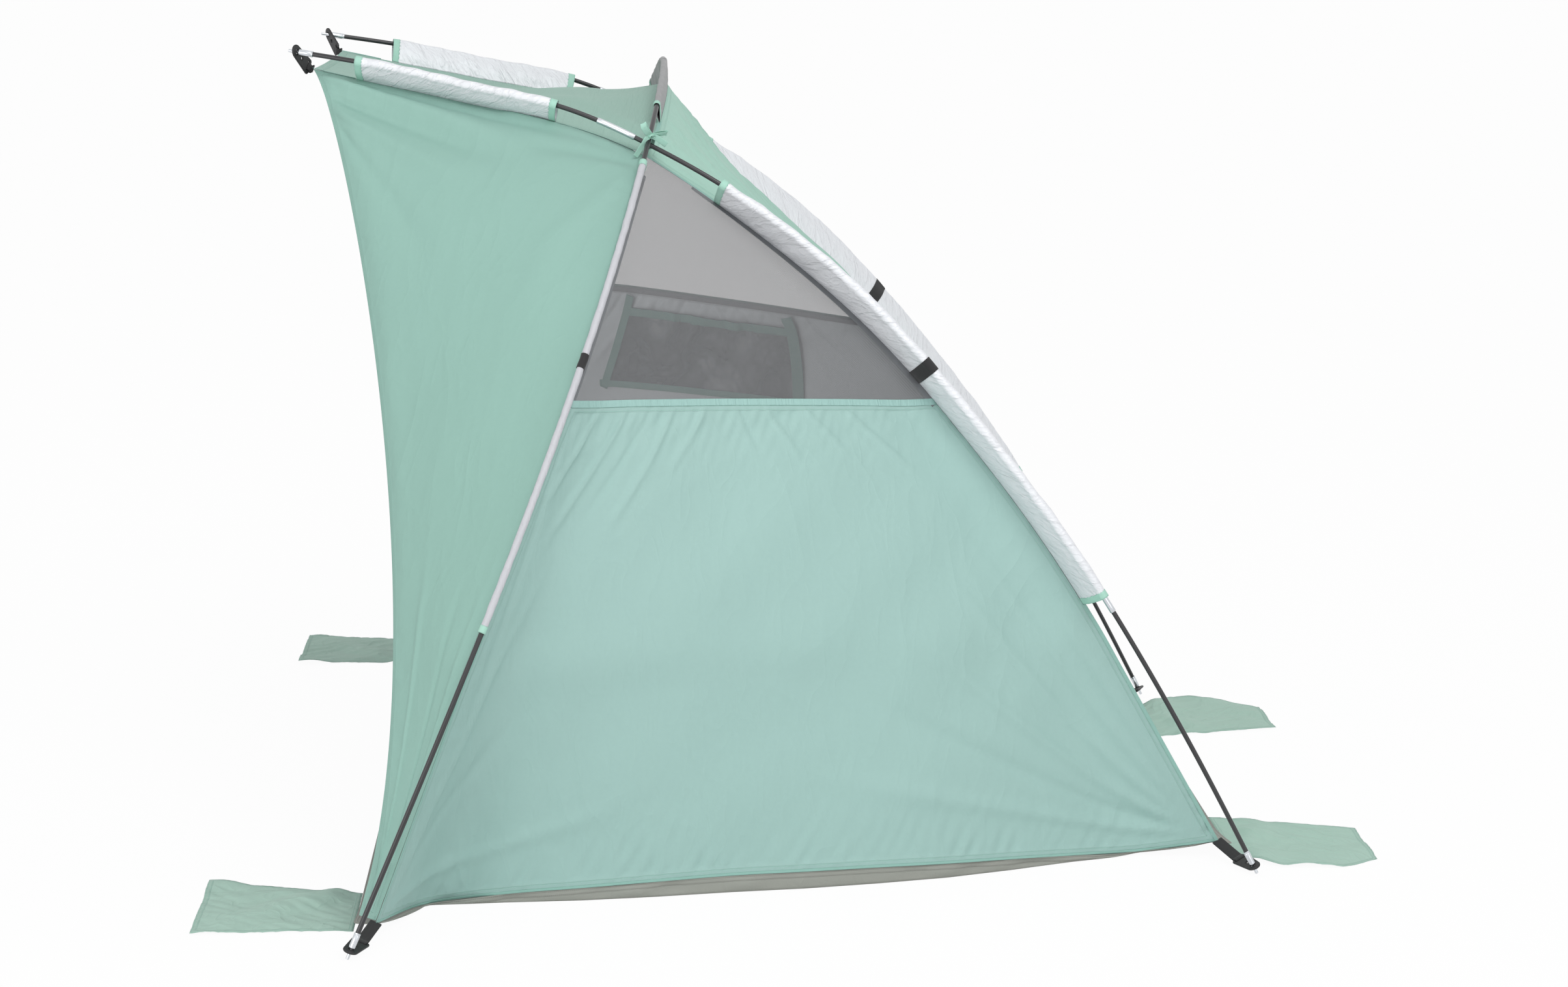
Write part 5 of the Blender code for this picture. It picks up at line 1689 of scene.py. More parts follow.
    def webbing(self, side: Side) -> None:
        """The folded webbing: a tape's section carried along its path."""
        origin, along, wide, normal = self.seat()
        path, aside = self.strap_path()
        centre = origin + path[:, :1] * along + path[:, 1:] * normal
        up = aside[:, :1] * along + aside[:, 1:] * normal
        section = (self.webbing_width, self.webbing_thickness)
        name = f"{self.word}_webbing_{side.word}"
        piece = tape_along(name, (centre, wide, up), section, side, self.finishes.webbing, Slot.WEBBING)
        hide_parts(f"{self.word}_corner_webbing_{side.word}")

    def build(self, nodes: dict[str, Piece]) -> None:
        """Both sides' plates, beads and webbing."""
        half, wide, slim = self.thickness / 2.0, self.edge_bead, self.eye_bead
        rims = (
            ("edge", self.outline(), wide, half + 0.0003),
            ("pin_rim", self.ring(0.0, self.pin_hole / 2.0 + wide), wide, half + 0.0006),
            ("hole_rim", self.ring(self.hole_pitch, self.small_hole / 2.0 + slim), slim, half + 0.0004),
        )
        for side in Side:
            plate = nodes[f"{self.word}_corner_tab_{side.word}"]
            plate.data.materials.clear()
            plate.data.materials.append(self.finishes.plastic)
            for word, loop, radius, high in rims:
                self.bead(f"{self.word}_tab_{word}_{side.word}", loop, radius, high, side)
            self.webbing(side)
            log.info("%s corner, %s side: plate edge, two rims and webbing", self.word, side.word)


# Sleeves


@dataclass(frozen=True)
class Sleeve:
    """A cloth tube round a pole whose two layers run flat to the seam, with tape ends and a strap."""

    word: str
    layout: Layout
    finishes: Finishes
    cloth: Material
    slot: Slot
    rail: Rail
    places: Array
    chain: Array
    start: float
    end: float
    strap: float | None = None
    radius: float = 0.0061
    half_gap: float = 0.0007
    belly: float = 0.0022
    wrinkle: float = 0.0011
    wrinkle_pitch: float = 0.035
    collar: float = 0.0105
    overhang: float = 0.0004
    pink_depth: float = 0.0016
    step: float = 0.005
    tail_share: float = 0.34
    strap_width: float = 0.025
    left_slide: float = 0.0
    seed: int = 5

    def skin(self, places: Array, proud: float) -> tuple[Array, Array]:
        """The sleeve's surface at given places: tail layer, tube and tail layer, as one open profile.

        In the plane square to the pole, with x towards the seam at length l: a straight layer runs from the
        seam to where it touches a circle of radius r, at the angle whose cosine is r / l. The far arc
        follows, and the second layer mirrors the first. A belly bows both layers, and a wrinkle height is
        added along the profile's normal.

        Args:
            places: Places along the pole, as a column or as a grid of the profile's width.
            proud: How far the surface is pushed out.

        Returns:
            The grid and the unrolled width at each of its points.
        """
        spread = np.broadcast_to(places.reshape(len(places), -1), (len(places), SLEEVE_POINTS))
        row_place = spread.mean(axis=1)
        dense_places, dense_chain = self.layout.seam_rail(self.places, self.chain)
        seam = np.stack([np.interp(row_place, dense_places, axis) for axis in dense_chain.T], axis=-1)
        centre = self.rail.at(row_place)
        tangent = self.rail.frame_at(row_place)[0]
        aim = seam - centre
        aim = aim - np.sum(aim * tangent, axis=-1, keepdims=True) * tangent
        length = np.linalg.norm(aim, axis=-1, keepdims=True)
        out = aim / length
        wide = np.cross(tangent, out)
        tail = int(SLEEVE_POINTS * self.tail_share)
        tube = SLEEVE_POINTS - 2 * tail
        share = np.linspace(0.0, 1.0, tail)[None]
        ones = np.ones_like(length)
        root = np.arccos(np.clip(self.radius / length, 0.0, 0.9))
        turn = root + (2.0 * math.pi - 2.0 * root) * np.linspace(0.0, 1.0, tube + 2)[1:-1][None]
        rise = self.radius * np.sin(root) - self.half_gap
        bulge = self.half_gap + rise * share + self.belly * np.sin(math.pi * share) ** 1.2
        near = self.radius * np.cos(root)
        straight = length * (1.0 - share) + near * share
        x = np.concatenate([straight, self.radius * np.cos(turn), straight[:, ::-1]], axis=1)
        y = np.concatenate([bulge, self.radius * np.sin(turn), -bulge[:, ::-1]], axis=1)
        flat = np.zeros_like(straight)
        nx = np.concatenate([flat, np.cos(turn), flat], axis=1)
        ny = np.concatenate([flat + 1.0, np.sin(turn), flat - 1.0], axis=1)
        unrolled = run_along(np.stack([x, y], axis=-1), 1)
        slant = soft_noise(spread + 0.8 * unrolled, unrolled * 0.35, self.wrinkle_pitch, self.seed)
        fine = soft_noise(spread - 0.6 * unrolled, unrolled * 0.5, self.wrinkle_pitch * 0.4, self.seed + 1)
        ramp = share * ones
        seam_share = np.concatenate([ramp, np.ones((len(length), tube)), ramp[:, ::-1]], axis=1)
        height = self.wrinkle * (slant + 0.35 * fine) * ease(seam_share, 0.0, 0.3)
        height = np.maximum(height, -0.0008) + proud
        x = x + nx * height
        y = y + ny * height
        shift = (spread - row_place[:, None])[..., None] * tangent[:, None]
        grid = centre[:, None] + x[..., None] * out[:, None] + y[..., None] * wide[:, None] + shift
        return grid, np.stack([spread, unrolled], axis=-1)

    def wrap(
        self,
        name: str,
        places: Array,
        proud: float,
        thickness: float,
        finish: Material,
        side: Side,
        slot: Slot,
    ) -> Piece:
        """A piece that follows the sleeve's skin."""
        grid, flat = self.skin(places, proud)
        centre = self.rail.at(places[len(places) // 2].mean())
        return stand(sheet_piece(name, grid, side, [finish], {"cloth": flat}, centre, thickness), slot)

    def build(self, sides: tuple[Side, ...] = (Side.RIGHT, Side.LEFT)) -> None:
        """The sleeve, its two end tapes with a pinked edge, and its strap."""
        mint = self.finishes.cloth["tape"]
        five = np.linspace(0.0, 1.0, 5)[:, None]
        zigzag = np.abs((np.arange(SLEEVE_POINTS) % 4) - 2.0)[None] / 2.0 * self.pink_depth
        for side in sides:
            ending = f"_{side.word}" if len(sides) > 1 else ""
            slid = self.left_slide if side is Side.LEFT else 0.0
            start, end = self.start + slid, self.end + slid
            places = np.linspace(start, end, int((end - start) / self.step))[:, None]
            body = self.wrap(f"{self.word}_sleeve{ending}", places, 0.0, 0.0005, self.cloth, side, self.slot)
            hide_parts(f"{self.word}_pole_sleeve{ending}")
            grid, _ = self.skin(places, 0.0)
            wide = (self.collar + self.overhang) * five
            lower = start - self.overhang + wide + zigzag * five
            upper = end - self.collar + wide - zigzag * (1.0 - five)
            bands = [
                ("tape_lower", lower, 0.0007, 0.0006, mint, Slot.MINT),
                ("tape_upper", upper, 0.0007, 0.0006, mint, Slot.MINT),
            ]
            if self.strap:
                shares = np.array([0.0, 0.03, 0.1, 0.3, 0.5, 0.7, 0.9, 0.97, 1.0])[:, None]
                places = self.strap + self.strap_width * (shares - 0.5)
                bands.append(("strap", places, 0.0011, 0.0011, self.finishes.webbing, Slot.WEBBING))
            tapes = []
            for word, band, proud, thickness, finish, slot in bands:
                name = f"{self.word}_{word}{ending}"
                tapes.append(self.wrap(name, band, proud, thickness, finish, side, slot))
            declare_sheet(body, grid, Held.FOLDED, rests_on=[], with_pieces=tapes)


# The cloth shelter


@dataclass(frozen=True)
class Shelter:
    """Roof, wings, side walls, mesh windows, rear wall and pocket."""

    layout: Layout
    finishes: Finishes
    seam_gap: float = 0.00115
    roof_sag: float = 0.045
    rear_sag: float = 0.040
    rear_draw: float = 0.055
    side_sag: float = 0.012
    wing_ahead: float = 0.027
    wing_in: float = 0.010
    wing_rise: float = 0.005
    pocket_slack: float = 0.0065
    foot_gap: float = 0.0024
    window_gap: float = 0.006

    @staticmethod
    def drawn_in(grid: Array, edges: tuple[float, float, float, float]) -> Array:
        """A grid with its outer rows and columns drawn in from their seams by the given gaps."""
        made = grid.copy()
        made[0] += unit(grid[1] - grid[0]) * edges[0]
        made[-1] += unit(grid[-2] - grid[-1]) * edges[1]
        made[:, 0] += unit(grid[:, 1] - grid[:, 0]) * edges[2]
        made[:, -1] += unit(grid[:, -2] - grid[:, -1]) * edges[3]
        return made

    def side_surface(self) -> tuple[Array, Array]:
        """A side's coarse surface from the hub to the floor, and its lower hem, drawn from front to rear."""
        layout = self.layout
        plan = FloorPlan(layout)
        edge = plan.edge()
        hem = edge.copy()
        hem[:, 2] = plan.lifted(edge) + plan.thickness + plan.rim() + plan.seam_play
        hem[0] = layout.front
        hem[-1] = layout.rear
        wall = ruled(layout.leg_line, layout.rear_line, hem, False)
        return wall + unit(layout.heart - wall) * (self.side_sag * swell(wall.shape))[..., None], hem

    def roof(self) -> None:
        """The roof between the side poles, sagging in its middle."""
        layout = self.layout
        across = np.linspace(0.0, 1.0, layout.lines.ridge_steps + 1)[:, None]
        front = layout.awning * MIRROR + (layout.awning - layout.awning * MIRROR) * across
        coarse = coons(front, layout.ridge_line[::-1], layout.front_line * MIRROR, layout.front_line)
        coarse = coarse - UP * self.roof_sag * swell(coarse.shape, 0.6)[..., None]
        coarse = self.drawn_in(coarse, (0.0020, self.seam_gap, self.seam_gap, self.seam_gap))
        creases = both_ways(
            Crease((0.03, 0.04), (0.30, 0.62), 0.005, 0.012, 0.040),
            Crease((0.02, 0.10), (0.12, 0.80), 0.004, 0.010, 0.030),
            Crease((0.06, 0.97), (0.45, 0.55), 0.004, 0.010, 0.050),
        )
        creases += (Crease((0.10, 0.02), (0.90, 0.02), -0.003, 0.030, 0.030),)
        folds = {"creases": creases, "gather": (0.0006, 0.0008, 0.0006, 0.0006)}
        panel = Panel("roof_cloth", coarse, billow=0.0022, billow_pitch=0.20, seed=31, **folds)
        cloths = [self.finishes.cloth["roof"], self.finishes.cloth["coated"]]
        panel.build("roof_awning", Side.RIGHT, cloths, layout.heart, Held.STRETCHED)

    def rear(self) -> None:
        """The rear wall between the side poles, from the ridge to the floor."""
        layout = self.layout
        plan = FloorPlan(layout)
        across = np.linspace(0.0, 1.0, layout.lines.ridge_steps + 1)[:, None]
        rear = layout.rear
        foot = rear * MIRROR + (rear - rear * MIRROR) * across
        foot[:, 1] += plan.rear_margin * 0.6 * np.sin(math.pi * across[:, 0])
        foot[:, 2] = plan.lifted(foot, rear_only=True) + plan.thickness + self.foot_gap
        foot[0, 2] = foot[-1, 2] = layout.lines.corner_height
        coarse = coons(layout.ridge_line[::-1], foot, layout.rear_line * MIRROR, layout.rear_line)
        sag = self.rear_sag * swell(coarse.shape) + self.rear_draw * swell(coarse.shape, 0.7, 0.43)
        coarse = coarse + unit(layout.heart - coarse) * sag[..., None]
        coarse = self.drawn_in(coarse, (self.seam_gap, 0.0002, self.seam_gap, self.seam_gap))
        folds = ((0.97, 1.0), (0.90, 0.90), (0.80, 0.80), (0.68, 0.70), (0.55, 0.58))
        folds = ((top, low + (0.02 if low > 0.8 else 0.12)) for top, low in folds)
        creases = both_ways(
            *(Crease((top, 0.015), (low, 0.36), 0.0065, 0.008, 0.022) for top, low in folds),
            Crease((0.98, 0.98), (0.62, 0.60), 0.006, 0.010, 0.050),
            Crease((0.97, 0.97), (0.85, 0.55), 0.005, 0.010, 0.035),
        )
        folds = {"creases": creases, "gather": (0.0012, 0.0006, 0.0006, 0.0006)}
        panel = Panel("rear_cloth", coarse, 0.010, billow=0.003, billow_pitch=0.24, seed=41, **folds)
        cloths = [self.finishes.cloth["rear"], self.finishes.cloth["coated"]]
        panel.build("rear_wall", Side.RIGHT, cloths, layout.heart, Held.STRETCHED, rests_on=("floor",))

    def wings(self) -> None:
        """The two wings between the side poles' front ends and the hoop's legs."""
        layout = self.layout
        foot = layout.front + np.array([-self.wing_in, -self.wing_ahead, self.wing_rise])
        box = foot - layout.awning
        shares = ((0.0, 0.0, 0.0), (0.093, 0.417, 0.052), (0.810, 1.898, 0.671), (1.0, 1.0, 1.0))
        edge = layout.awning + bezier(shares, np.linspace(0.0, 1.0, len(layout.leg_line))) * box
        coarse = ruled(edge, layout.leg_line, layout.front_line, True)
        coarse = self.drawn_in(coarse, (self.seam_gap, self.wing_rise / 2.0, 0.0, self.seam_gap))
        creases = Crease.table(
            (0.01, 0.012, 0.62, 0.060, 0.0100, 0.008, 0.026),
            (0.02, 0.040, 0.66, 0.100, -0.0075, 0.008, 0.030),
            (0.02, 0.060, 0.50, 0.140, 0.0060, 0.008, 0.030),
            (0.02, 0.080, 0.36, 0.260, -0.0045, 0.008, 0.034),
            (0.10, 0.010, 0.80, 0.030, -0.0040, 0.008, 0.016),
            (0.55, 0.004, 1.02, 0.016, 0.0055, 0.008, 0.010),
            (0.98, 0.036, 0.60, 0.070, -0.0065, 0.010, 0.026),
            (0.97, 0.060, 0.70, 0.260, 0.0040, 0.008, 0.034),
            (0.30, 0.990, 0.40, 0.560, 0.0030, 0.005, 0.022),
            (0.62, 0.990, 0.72, 0.600, -0.0030, 0.004, 0.018),
            (0.80, 0.990, 0.90, 0.560, 0.0034, 0.004, 0.016),
        )
        for side in Side:
            folds = {"creases": creases, "gather": (0.0016, 0.0, 0.0012, 0.0008), "gather_pitch": 0.026}
            name = f"wing_cloth_{side.word}"
            panel = Panel(name, coarse, billow=0.0022, billow_pitch=0.26, seed=51, **folds)
            cloths = [self.finishes.cloth["wing"], self.finishes.cloth["coated"]]
            panel.build(f"wing_{side.word}", side, cloths, layout.heart, Held.STRETCHED)

    def walls(self) -> None:
        """Each side wall and the mesh window above it, cut from one surface at the gathered hem."""
        layout = self.layout
        wall, _ = self.side_surface()
        upper = layout.lines.upper_steps
        window = wall[: upper + 1].copy()
        first = np.linalg.norm(window[1] - window[0], axis=-1)[:, None]
        window[0] = window[0] + (window[1] - window[0]) * self.window_gap / first
        window = self.drawn_in(window, (0.0, 0.0002, self.seam_gap, self.seam_gap))
        lower = self.drawn_in(wall[upper:], (0.0002, 0.0002, self.seam_gap, self.seam_gap))
        creases = Crease.table(
            (0.10, 0.010, 0.030, 0.200, 0.0045, 0.006, 0.012),
            (0.17, 0.010, 0.070, 0.280, 0.0055, 0.006, 0.014),
            (0.23, 0.010, 0.130, 0.240, -0.0040, 0.006, 0.012),
            (0.29, 0.010, 0.180, 0.260, 0.0050, 0.006, 0.014),
            (0.37, 0.010, 0.290, 0.140, 0.0035, 0.005, 0.010),
            (0.46, 0.010, 0.500, 0.110, -0.0030, 0.005, 0.009),
            (0.53, 0.010, 0.590, 0.130, 0.0035, 0.005, 0.010),
            (0.63, 0.010, 0.700, 0.110, 0.0030, 0.005, 0.009),
            (0.74, 0.010, 0.840, 0.160, 0.0035, 0.005, 0.010),
            (0.015, 0.060, 0.060, 0.620, -0.0040, 0.006, 0.018),
            (0.020, 0.970, 0.100, 0.300, 0.0035, 0.006, 0.016),
            (0.020, 0.975, 0.160, 0.560, -0.0030, 0.006, 0.022),
            (0.020, 0.980, 0.320, 0.820, 0.0035, 0.005, 0.024),
            (0.975, 0.970, 0.540, 0.800, 0.0050, 0.006, 0.026),
            (0.975, 0.965, 0.600, 0.620, -0.0045, 0.006, 0.026),
            (0.975, 0.960, 0.700, 0.480, 0.0050, 0.006, 0.024),
            (0.980, 0.950, 0.800, 0.380, 0.0040, 0.006, 0.020),
            (0.985, 0.930, 0.880, 0.340, 0.0035, 0.006, 0.016),
            (0.990, 0.900, 0.950, 0.420, 0.0030, 0.005, 0.012),
        )
        for side in Side:
            name = f"window_net_{side.word}"
            net = Panel(name, window, hem=0.010, hem_rise=0.0002, billow=0.0012, billow_pitch=0.18, seed=61)
            node, cloths = f"mesh_window_{side.word}", [self.finishes.cloth["net"]]
            net.build(node, side, cloths, layout.heart, Held.STRETCHED, Slot.MESH, NET_THICKNESS)
            folds = {"creases": creases, "gather": (0.0042, 0.0036, 0.0008, 0.0006)}
            folds |= {"gather_pitch": 0.026, "gather_reach": 0.050}
            name = f"side_cloth_{side.word}"
            cloth = Panel(name, lower, hem=0.013, billow=0.0022, billow_pitch=0.24, seed=71, **folds)
            cloths = [self.finishes.cloth["mint"], self.finishes.cloth["coated"]]
            node = f"side_wall_{side.word}"
            cloth.build(node, side, cloths, layout.heart, Held.GATHERED, rests_on=("floor",))
        self.pocket(lower)

    def pocket(self, lower: Array) -> None:
        """The mesh pocket inside the left wall, given by the wall's coarse grid, with its four tapes."""
        layout = self.layout
        down = np.linspace(0.0, 1.0, 40)[:, None]
        across = np.linspace(0.0, 1.0, 70)[None]
        rows = np.linspace(0.048, 0.275, 40) * layout.lines.lower_steps
        columns = np.linspace(0.170, 0.700, 70) * FloorPlan.columns
        upright = smooth_grid(lower, rows, columns)
        leaning = smooth_grid(lower, rows, np.linspace(0.160, 0.640, 70) * FloorPlan.columns)
        grid = upright + (leaning - upright) * down[..., None]
        inward = turned_to(grid_normals(grid), layout.heart - grid)
        bow = np.sin(math.pi * across)
        folds = 0.0045 * soft_noise(across * 0.55 + down * 0.05, down * 0.10, 0.085, 81)
        folds = folds + 0.0016 * soft_noise(across * 0.55, down * 0.16, 0.03, 82)
        slack = 0.0045 + 0.005 * bow * (1.0 - down) + folds * bow * ease(1.0 - down, 0.0, 0.3)
        grid = grid + inward * np.maximum(slack, self.pocket_slack)[..., None]
        runs = {"cloth": np.stack([run_along(grid, 1), run_along(grid, 0)], axis=-1)}
        piece = mesh_piece("pocket_net", placed(grid, Side.LEFT), [self.finishes.cloth["pocket"]], runs)
        thicken(piece, NET_THICKNESS)
        stand(piece, Slot.MESH, "mesh_pocket")
        outer = [0, 6, -7, -1]
        above = smooth_grid(lower, np.linspace(0.010, 0.042, 6) * layout.lines.lower_steps, columns[outer])
        tall = np.concatenate([above + inward[0, outer] * self.pocket_slack, grid[:, outer]])
        borders = (
            ("top", grid[0], grid[1], 0.018),
            ("bottom", grid[-1], grid[-2], 0.014),
            ("front", tall[:, 0], tall[:, 1], 0.016),
            ("rear", tall[:, 3], tall[:, 2], 0.024),
        )
        tapes, finish = [], self.finishes.cloth["pocket_tape"]
        for word, edge, inner, width in borders:
            lines = (edge, inner, layout.heart)
            tapes.append(tape_strip(f"pocket_tape_{word}", lines, width, Side.LEFT, finish, 0.0018))
        declare_sheet(piece, grid, Held.HUNG, rests_on=["side_cloth_left"], with_pieces=tapes)

    def build(self) -> None:
        """Every panel."""
        self.roof()
        self.rear()
        self.wings()
        self.walls()


# Floor and flaps


@dataclass(frozen=True)
class FloorPlan:
    """The floor's outline, its drawn-up corners and its rims."""

    layout: Layout
    edge_cut: float = 0.150
    rim_height: float = 0.0260
    rim_least: float = 0.0020
    lift_reach: float = 0.185
    thickness: float = 0.0015
    rear_margin: float = 0.030
    tip_inset: float = 0.008
    seam_play: float = 0.0004
    columns: int = 12

    def lifted(self, points: Array, rear_only: bool = False) -> Array:
        """How high the floor is drawn up: a power of the closeness to the nearest fabric corner."""
        front, rear = self.layout.front, self.layout.rear
        corners = (rear, rear * MIRROR) if rear_only else (front, rear)
        rise = self.layout.lines.corner_height - self.thickness - self.rim_least - self.seam_play
        away = np.stack([np.linalg.norm(points[..., :2] - corner[:2], axis=-1) for corner in corners])
        return rise * np.max(np.clip(1.0 - away / self.lift_reach, 0.0, 1.0) ** 1.5, axis=0)

    def edge(self) -> Array:
        """The right edge from the front corner to the rear one, drawn inwards between them."""
        table = [(0.0, 0.0), (0.030, 0.62), (0.085, 0.98), (0.156, 0.84), (0.283, 0.57), (0.406, 0.45)]
        table += [(0.532, 0.27), (0.680, 0.21), (0.797, 0.29), (0.882, 0.39), (0.950, 0.30), (1.0, 0.0)]
        shares = np.linspace(0.0, 1.0, self.columns + 1)
        cut = np.interp(shares, *zip(*table))[:, None] * self.edge_cut
        run = (self.layout.rear - self.layout.front) * np.array([1.0, 1.0, 0.0])
        aside = unit(np.array([-run[1], run[0], 0.0]))
        return self.layout.front * np.array([1.0, 1.0, 0.0]) + run * shares[:, None] + aside * cut

    def rim(self) -> Array:
        """The rim's height at even columns: a raised sine between two shares of the way."""
        shares = np.linspace(0.0, 1.0, self.columns + 1)
        bow = np.sin(math.pi * np.clip((shares - 0.085) / 0.8, 0.0, 1.0))
        return self.rim_least + self.rim_height * bow**0.7


@dataclass(frozen=True)
class Floor:
    """The ground cloth with its rims and drawn-up corners."""

    layout: Layout
    finishes: Finishes
    bent_from: float = 0.94
    thickness: float = 0.0009
    wrinkle: float = 0.0035
    rim_wave: float = 0.0045

    def build(self) -> None:
        """The floor as one sheet: flat, with low wrinkles, drawn up at its corners, its rims bent up."""
        plan = FloorPlan(self.layout)
        fine = np.linspace(0.0, plan.columns, 150)
        knots = np.arange(plan.columns + 1)
        edge = np.stack([np.interp(fine, knots, axis) for axis in plan.edge().T], axis=-1)
        rim = np.interp(fine, knots, plan.rim())
        share = np.linspace(0.0, 1.0, len(edge))
        middle = (self.layout.rear[1] + plan.rear_margin) * share
        bent = self.bent_from
        columns = np.concatenate([np.linspace(0.0, bent, 80), np.linspace(bent, 1.0, 9)[1:]])
        x = edge[:, :1] * columns
        bend = ease(columns, bent, 1.0)[None] ** 3
        y = middle[:, None] * (1.0 - bend) + edge[:, 1:2] * bend
        right = np.stack([x, y, np.zeros_like(x)], axis=-1)
        tips = ease(share, 0.0, 0.02) - 1.0 + ease(1.0 - share, 0.0, 0.02) - 1.0
        right[:, -1, 0] += plan.tip_inset * tips
        right[..., 2] = plan.lifted(right) + plan.thickness / 2.0
        level = (right[..., 0], right[..., 1])
        wave = soft_noise(*level, 0.22, 91) + 0.5 * soft_noise(*level, 0.07, 92)
        calm = (ease(share, 0.0, 0.03) * ease(1.0 - share, 0.0, 0.03))[:, None]
        calm = calm * ease(1.0 - columns, 0.0, 0.05)
        right[..., 2] += np.maximum(wave, 0.0) * self.wrinkle * calm
        turn = np.linspace(0.0, 1.0, 7)[1:]
        level = np.repeat(share[:, None], len(turn), axis=1)
        wall = right[:, -1:] + UP * (rim[:, None] * turn[None])[..., None]
        wall[..., 0] += self.rim_wave * soft_noise(level * 1.5, level, 0.12, 93) * np.sin(math.pi * turn)
        half = np.concatenate([right, wall], axis=1)
        grid = np.concatenate([(half * MIRROR)[:, ::-1][:, :-1], half], axis=1)
        away, _, layers = surface_runs(grid)
        layers["hem"] = np.stack([layers["cloth"][..., 1], away.min(axis=0)], axis=-1)
        piece = mesh_piece("floor_cloth", placed(grid), [self.finishes.cloth["floor"]], layers)
        thicken(piece, self.thickness)
        piece.modifiers["thickness"].offset = 0.0
        declare_sheet(stand(piece, Slot.FLOOR, "floor"), grid, Held.LAID)


@dataclass(frozen=True)
class Flap:
    """A sand flap on the ground: a thin hemmed sheet with soft waves and creases."""

    word: str
    layout: Layout
    finishes: Finishes
    root: float
    inner: float
    outer: float
    forward: float
    inner_shares: tuple
    outer_shares: tuple
    length: float = 0.245
    ripple: float = 0.0035
    hump: float = 0.0065
    fold: float = 0.0016
    crinkle: float = 0.0005
    gap: float = 0.0006
    thickness: float = 0.0006
    seed: int = 5

    def build(self) -> None:
        """Both sides' flaps, each riding on its own body."""
        steps = np.linspace(0.0, 1.0, 64)[:, None]
        across = np.linspace(0.0, 1.0, 52)[None]
        width = self.outer - self.inner
        low = self.inner + width * np.interp(steps, *zip(*self.inner_shares))
        high = self.outer + width * np.interp(steps, *zip(*self.outer_shares))
        x = low + (high - low) * across
        y = self.root + self.forward * (self.gap + self.length * steps) + 0.0 * across
        turn = 2.0 * math.pi * (1.5 * across + steps * 0.5)
        z = self.ripple * (0.5 - 0.5 * np.cos(turn)) * np.minimum(1.0, steps * 2.0)
        soft = np.maximum(soft_noise(x + 0.4 * y, y * 0.8, 0.15, self.seed + 2), 0.0)
        z = z + self.hump * soft**1.3 * ease(steps, 0.02, 0.2)
        fine = self.fold * np.abs(soft_noise(x - 0.5 * y, y * 0.6, 0.055, self.seed))
        fine = fine + self.crinkle * np.abs(soft_noise(x, y, 0.018, self.seed + 1))
        z = z + self.thickness + fine * ease(steps, 0.0, 0.1)
        grid = np.stack([x, y, z], axis=-1)
        layers = surface_runs(grid)[2]
        below = grid[grid.shape[0] // 2, grid.shape[1] // 2] - UP
        cloths = [self.finishes.cloth["flap"]]
        for side in Side:
            name = f"{self.word}_flap_cloth_{side.word}"
            piece = sheet_piece(name, grid, side, cloths, layers, below, self.thickness)
            stand(piece, Slot.MINT, f"{self.word}_sand_flap_{side.word}", f"{self.word}_flap_{side.word}")
            declare_sheet(piece, grid, Held.LAID)


# Hub ties


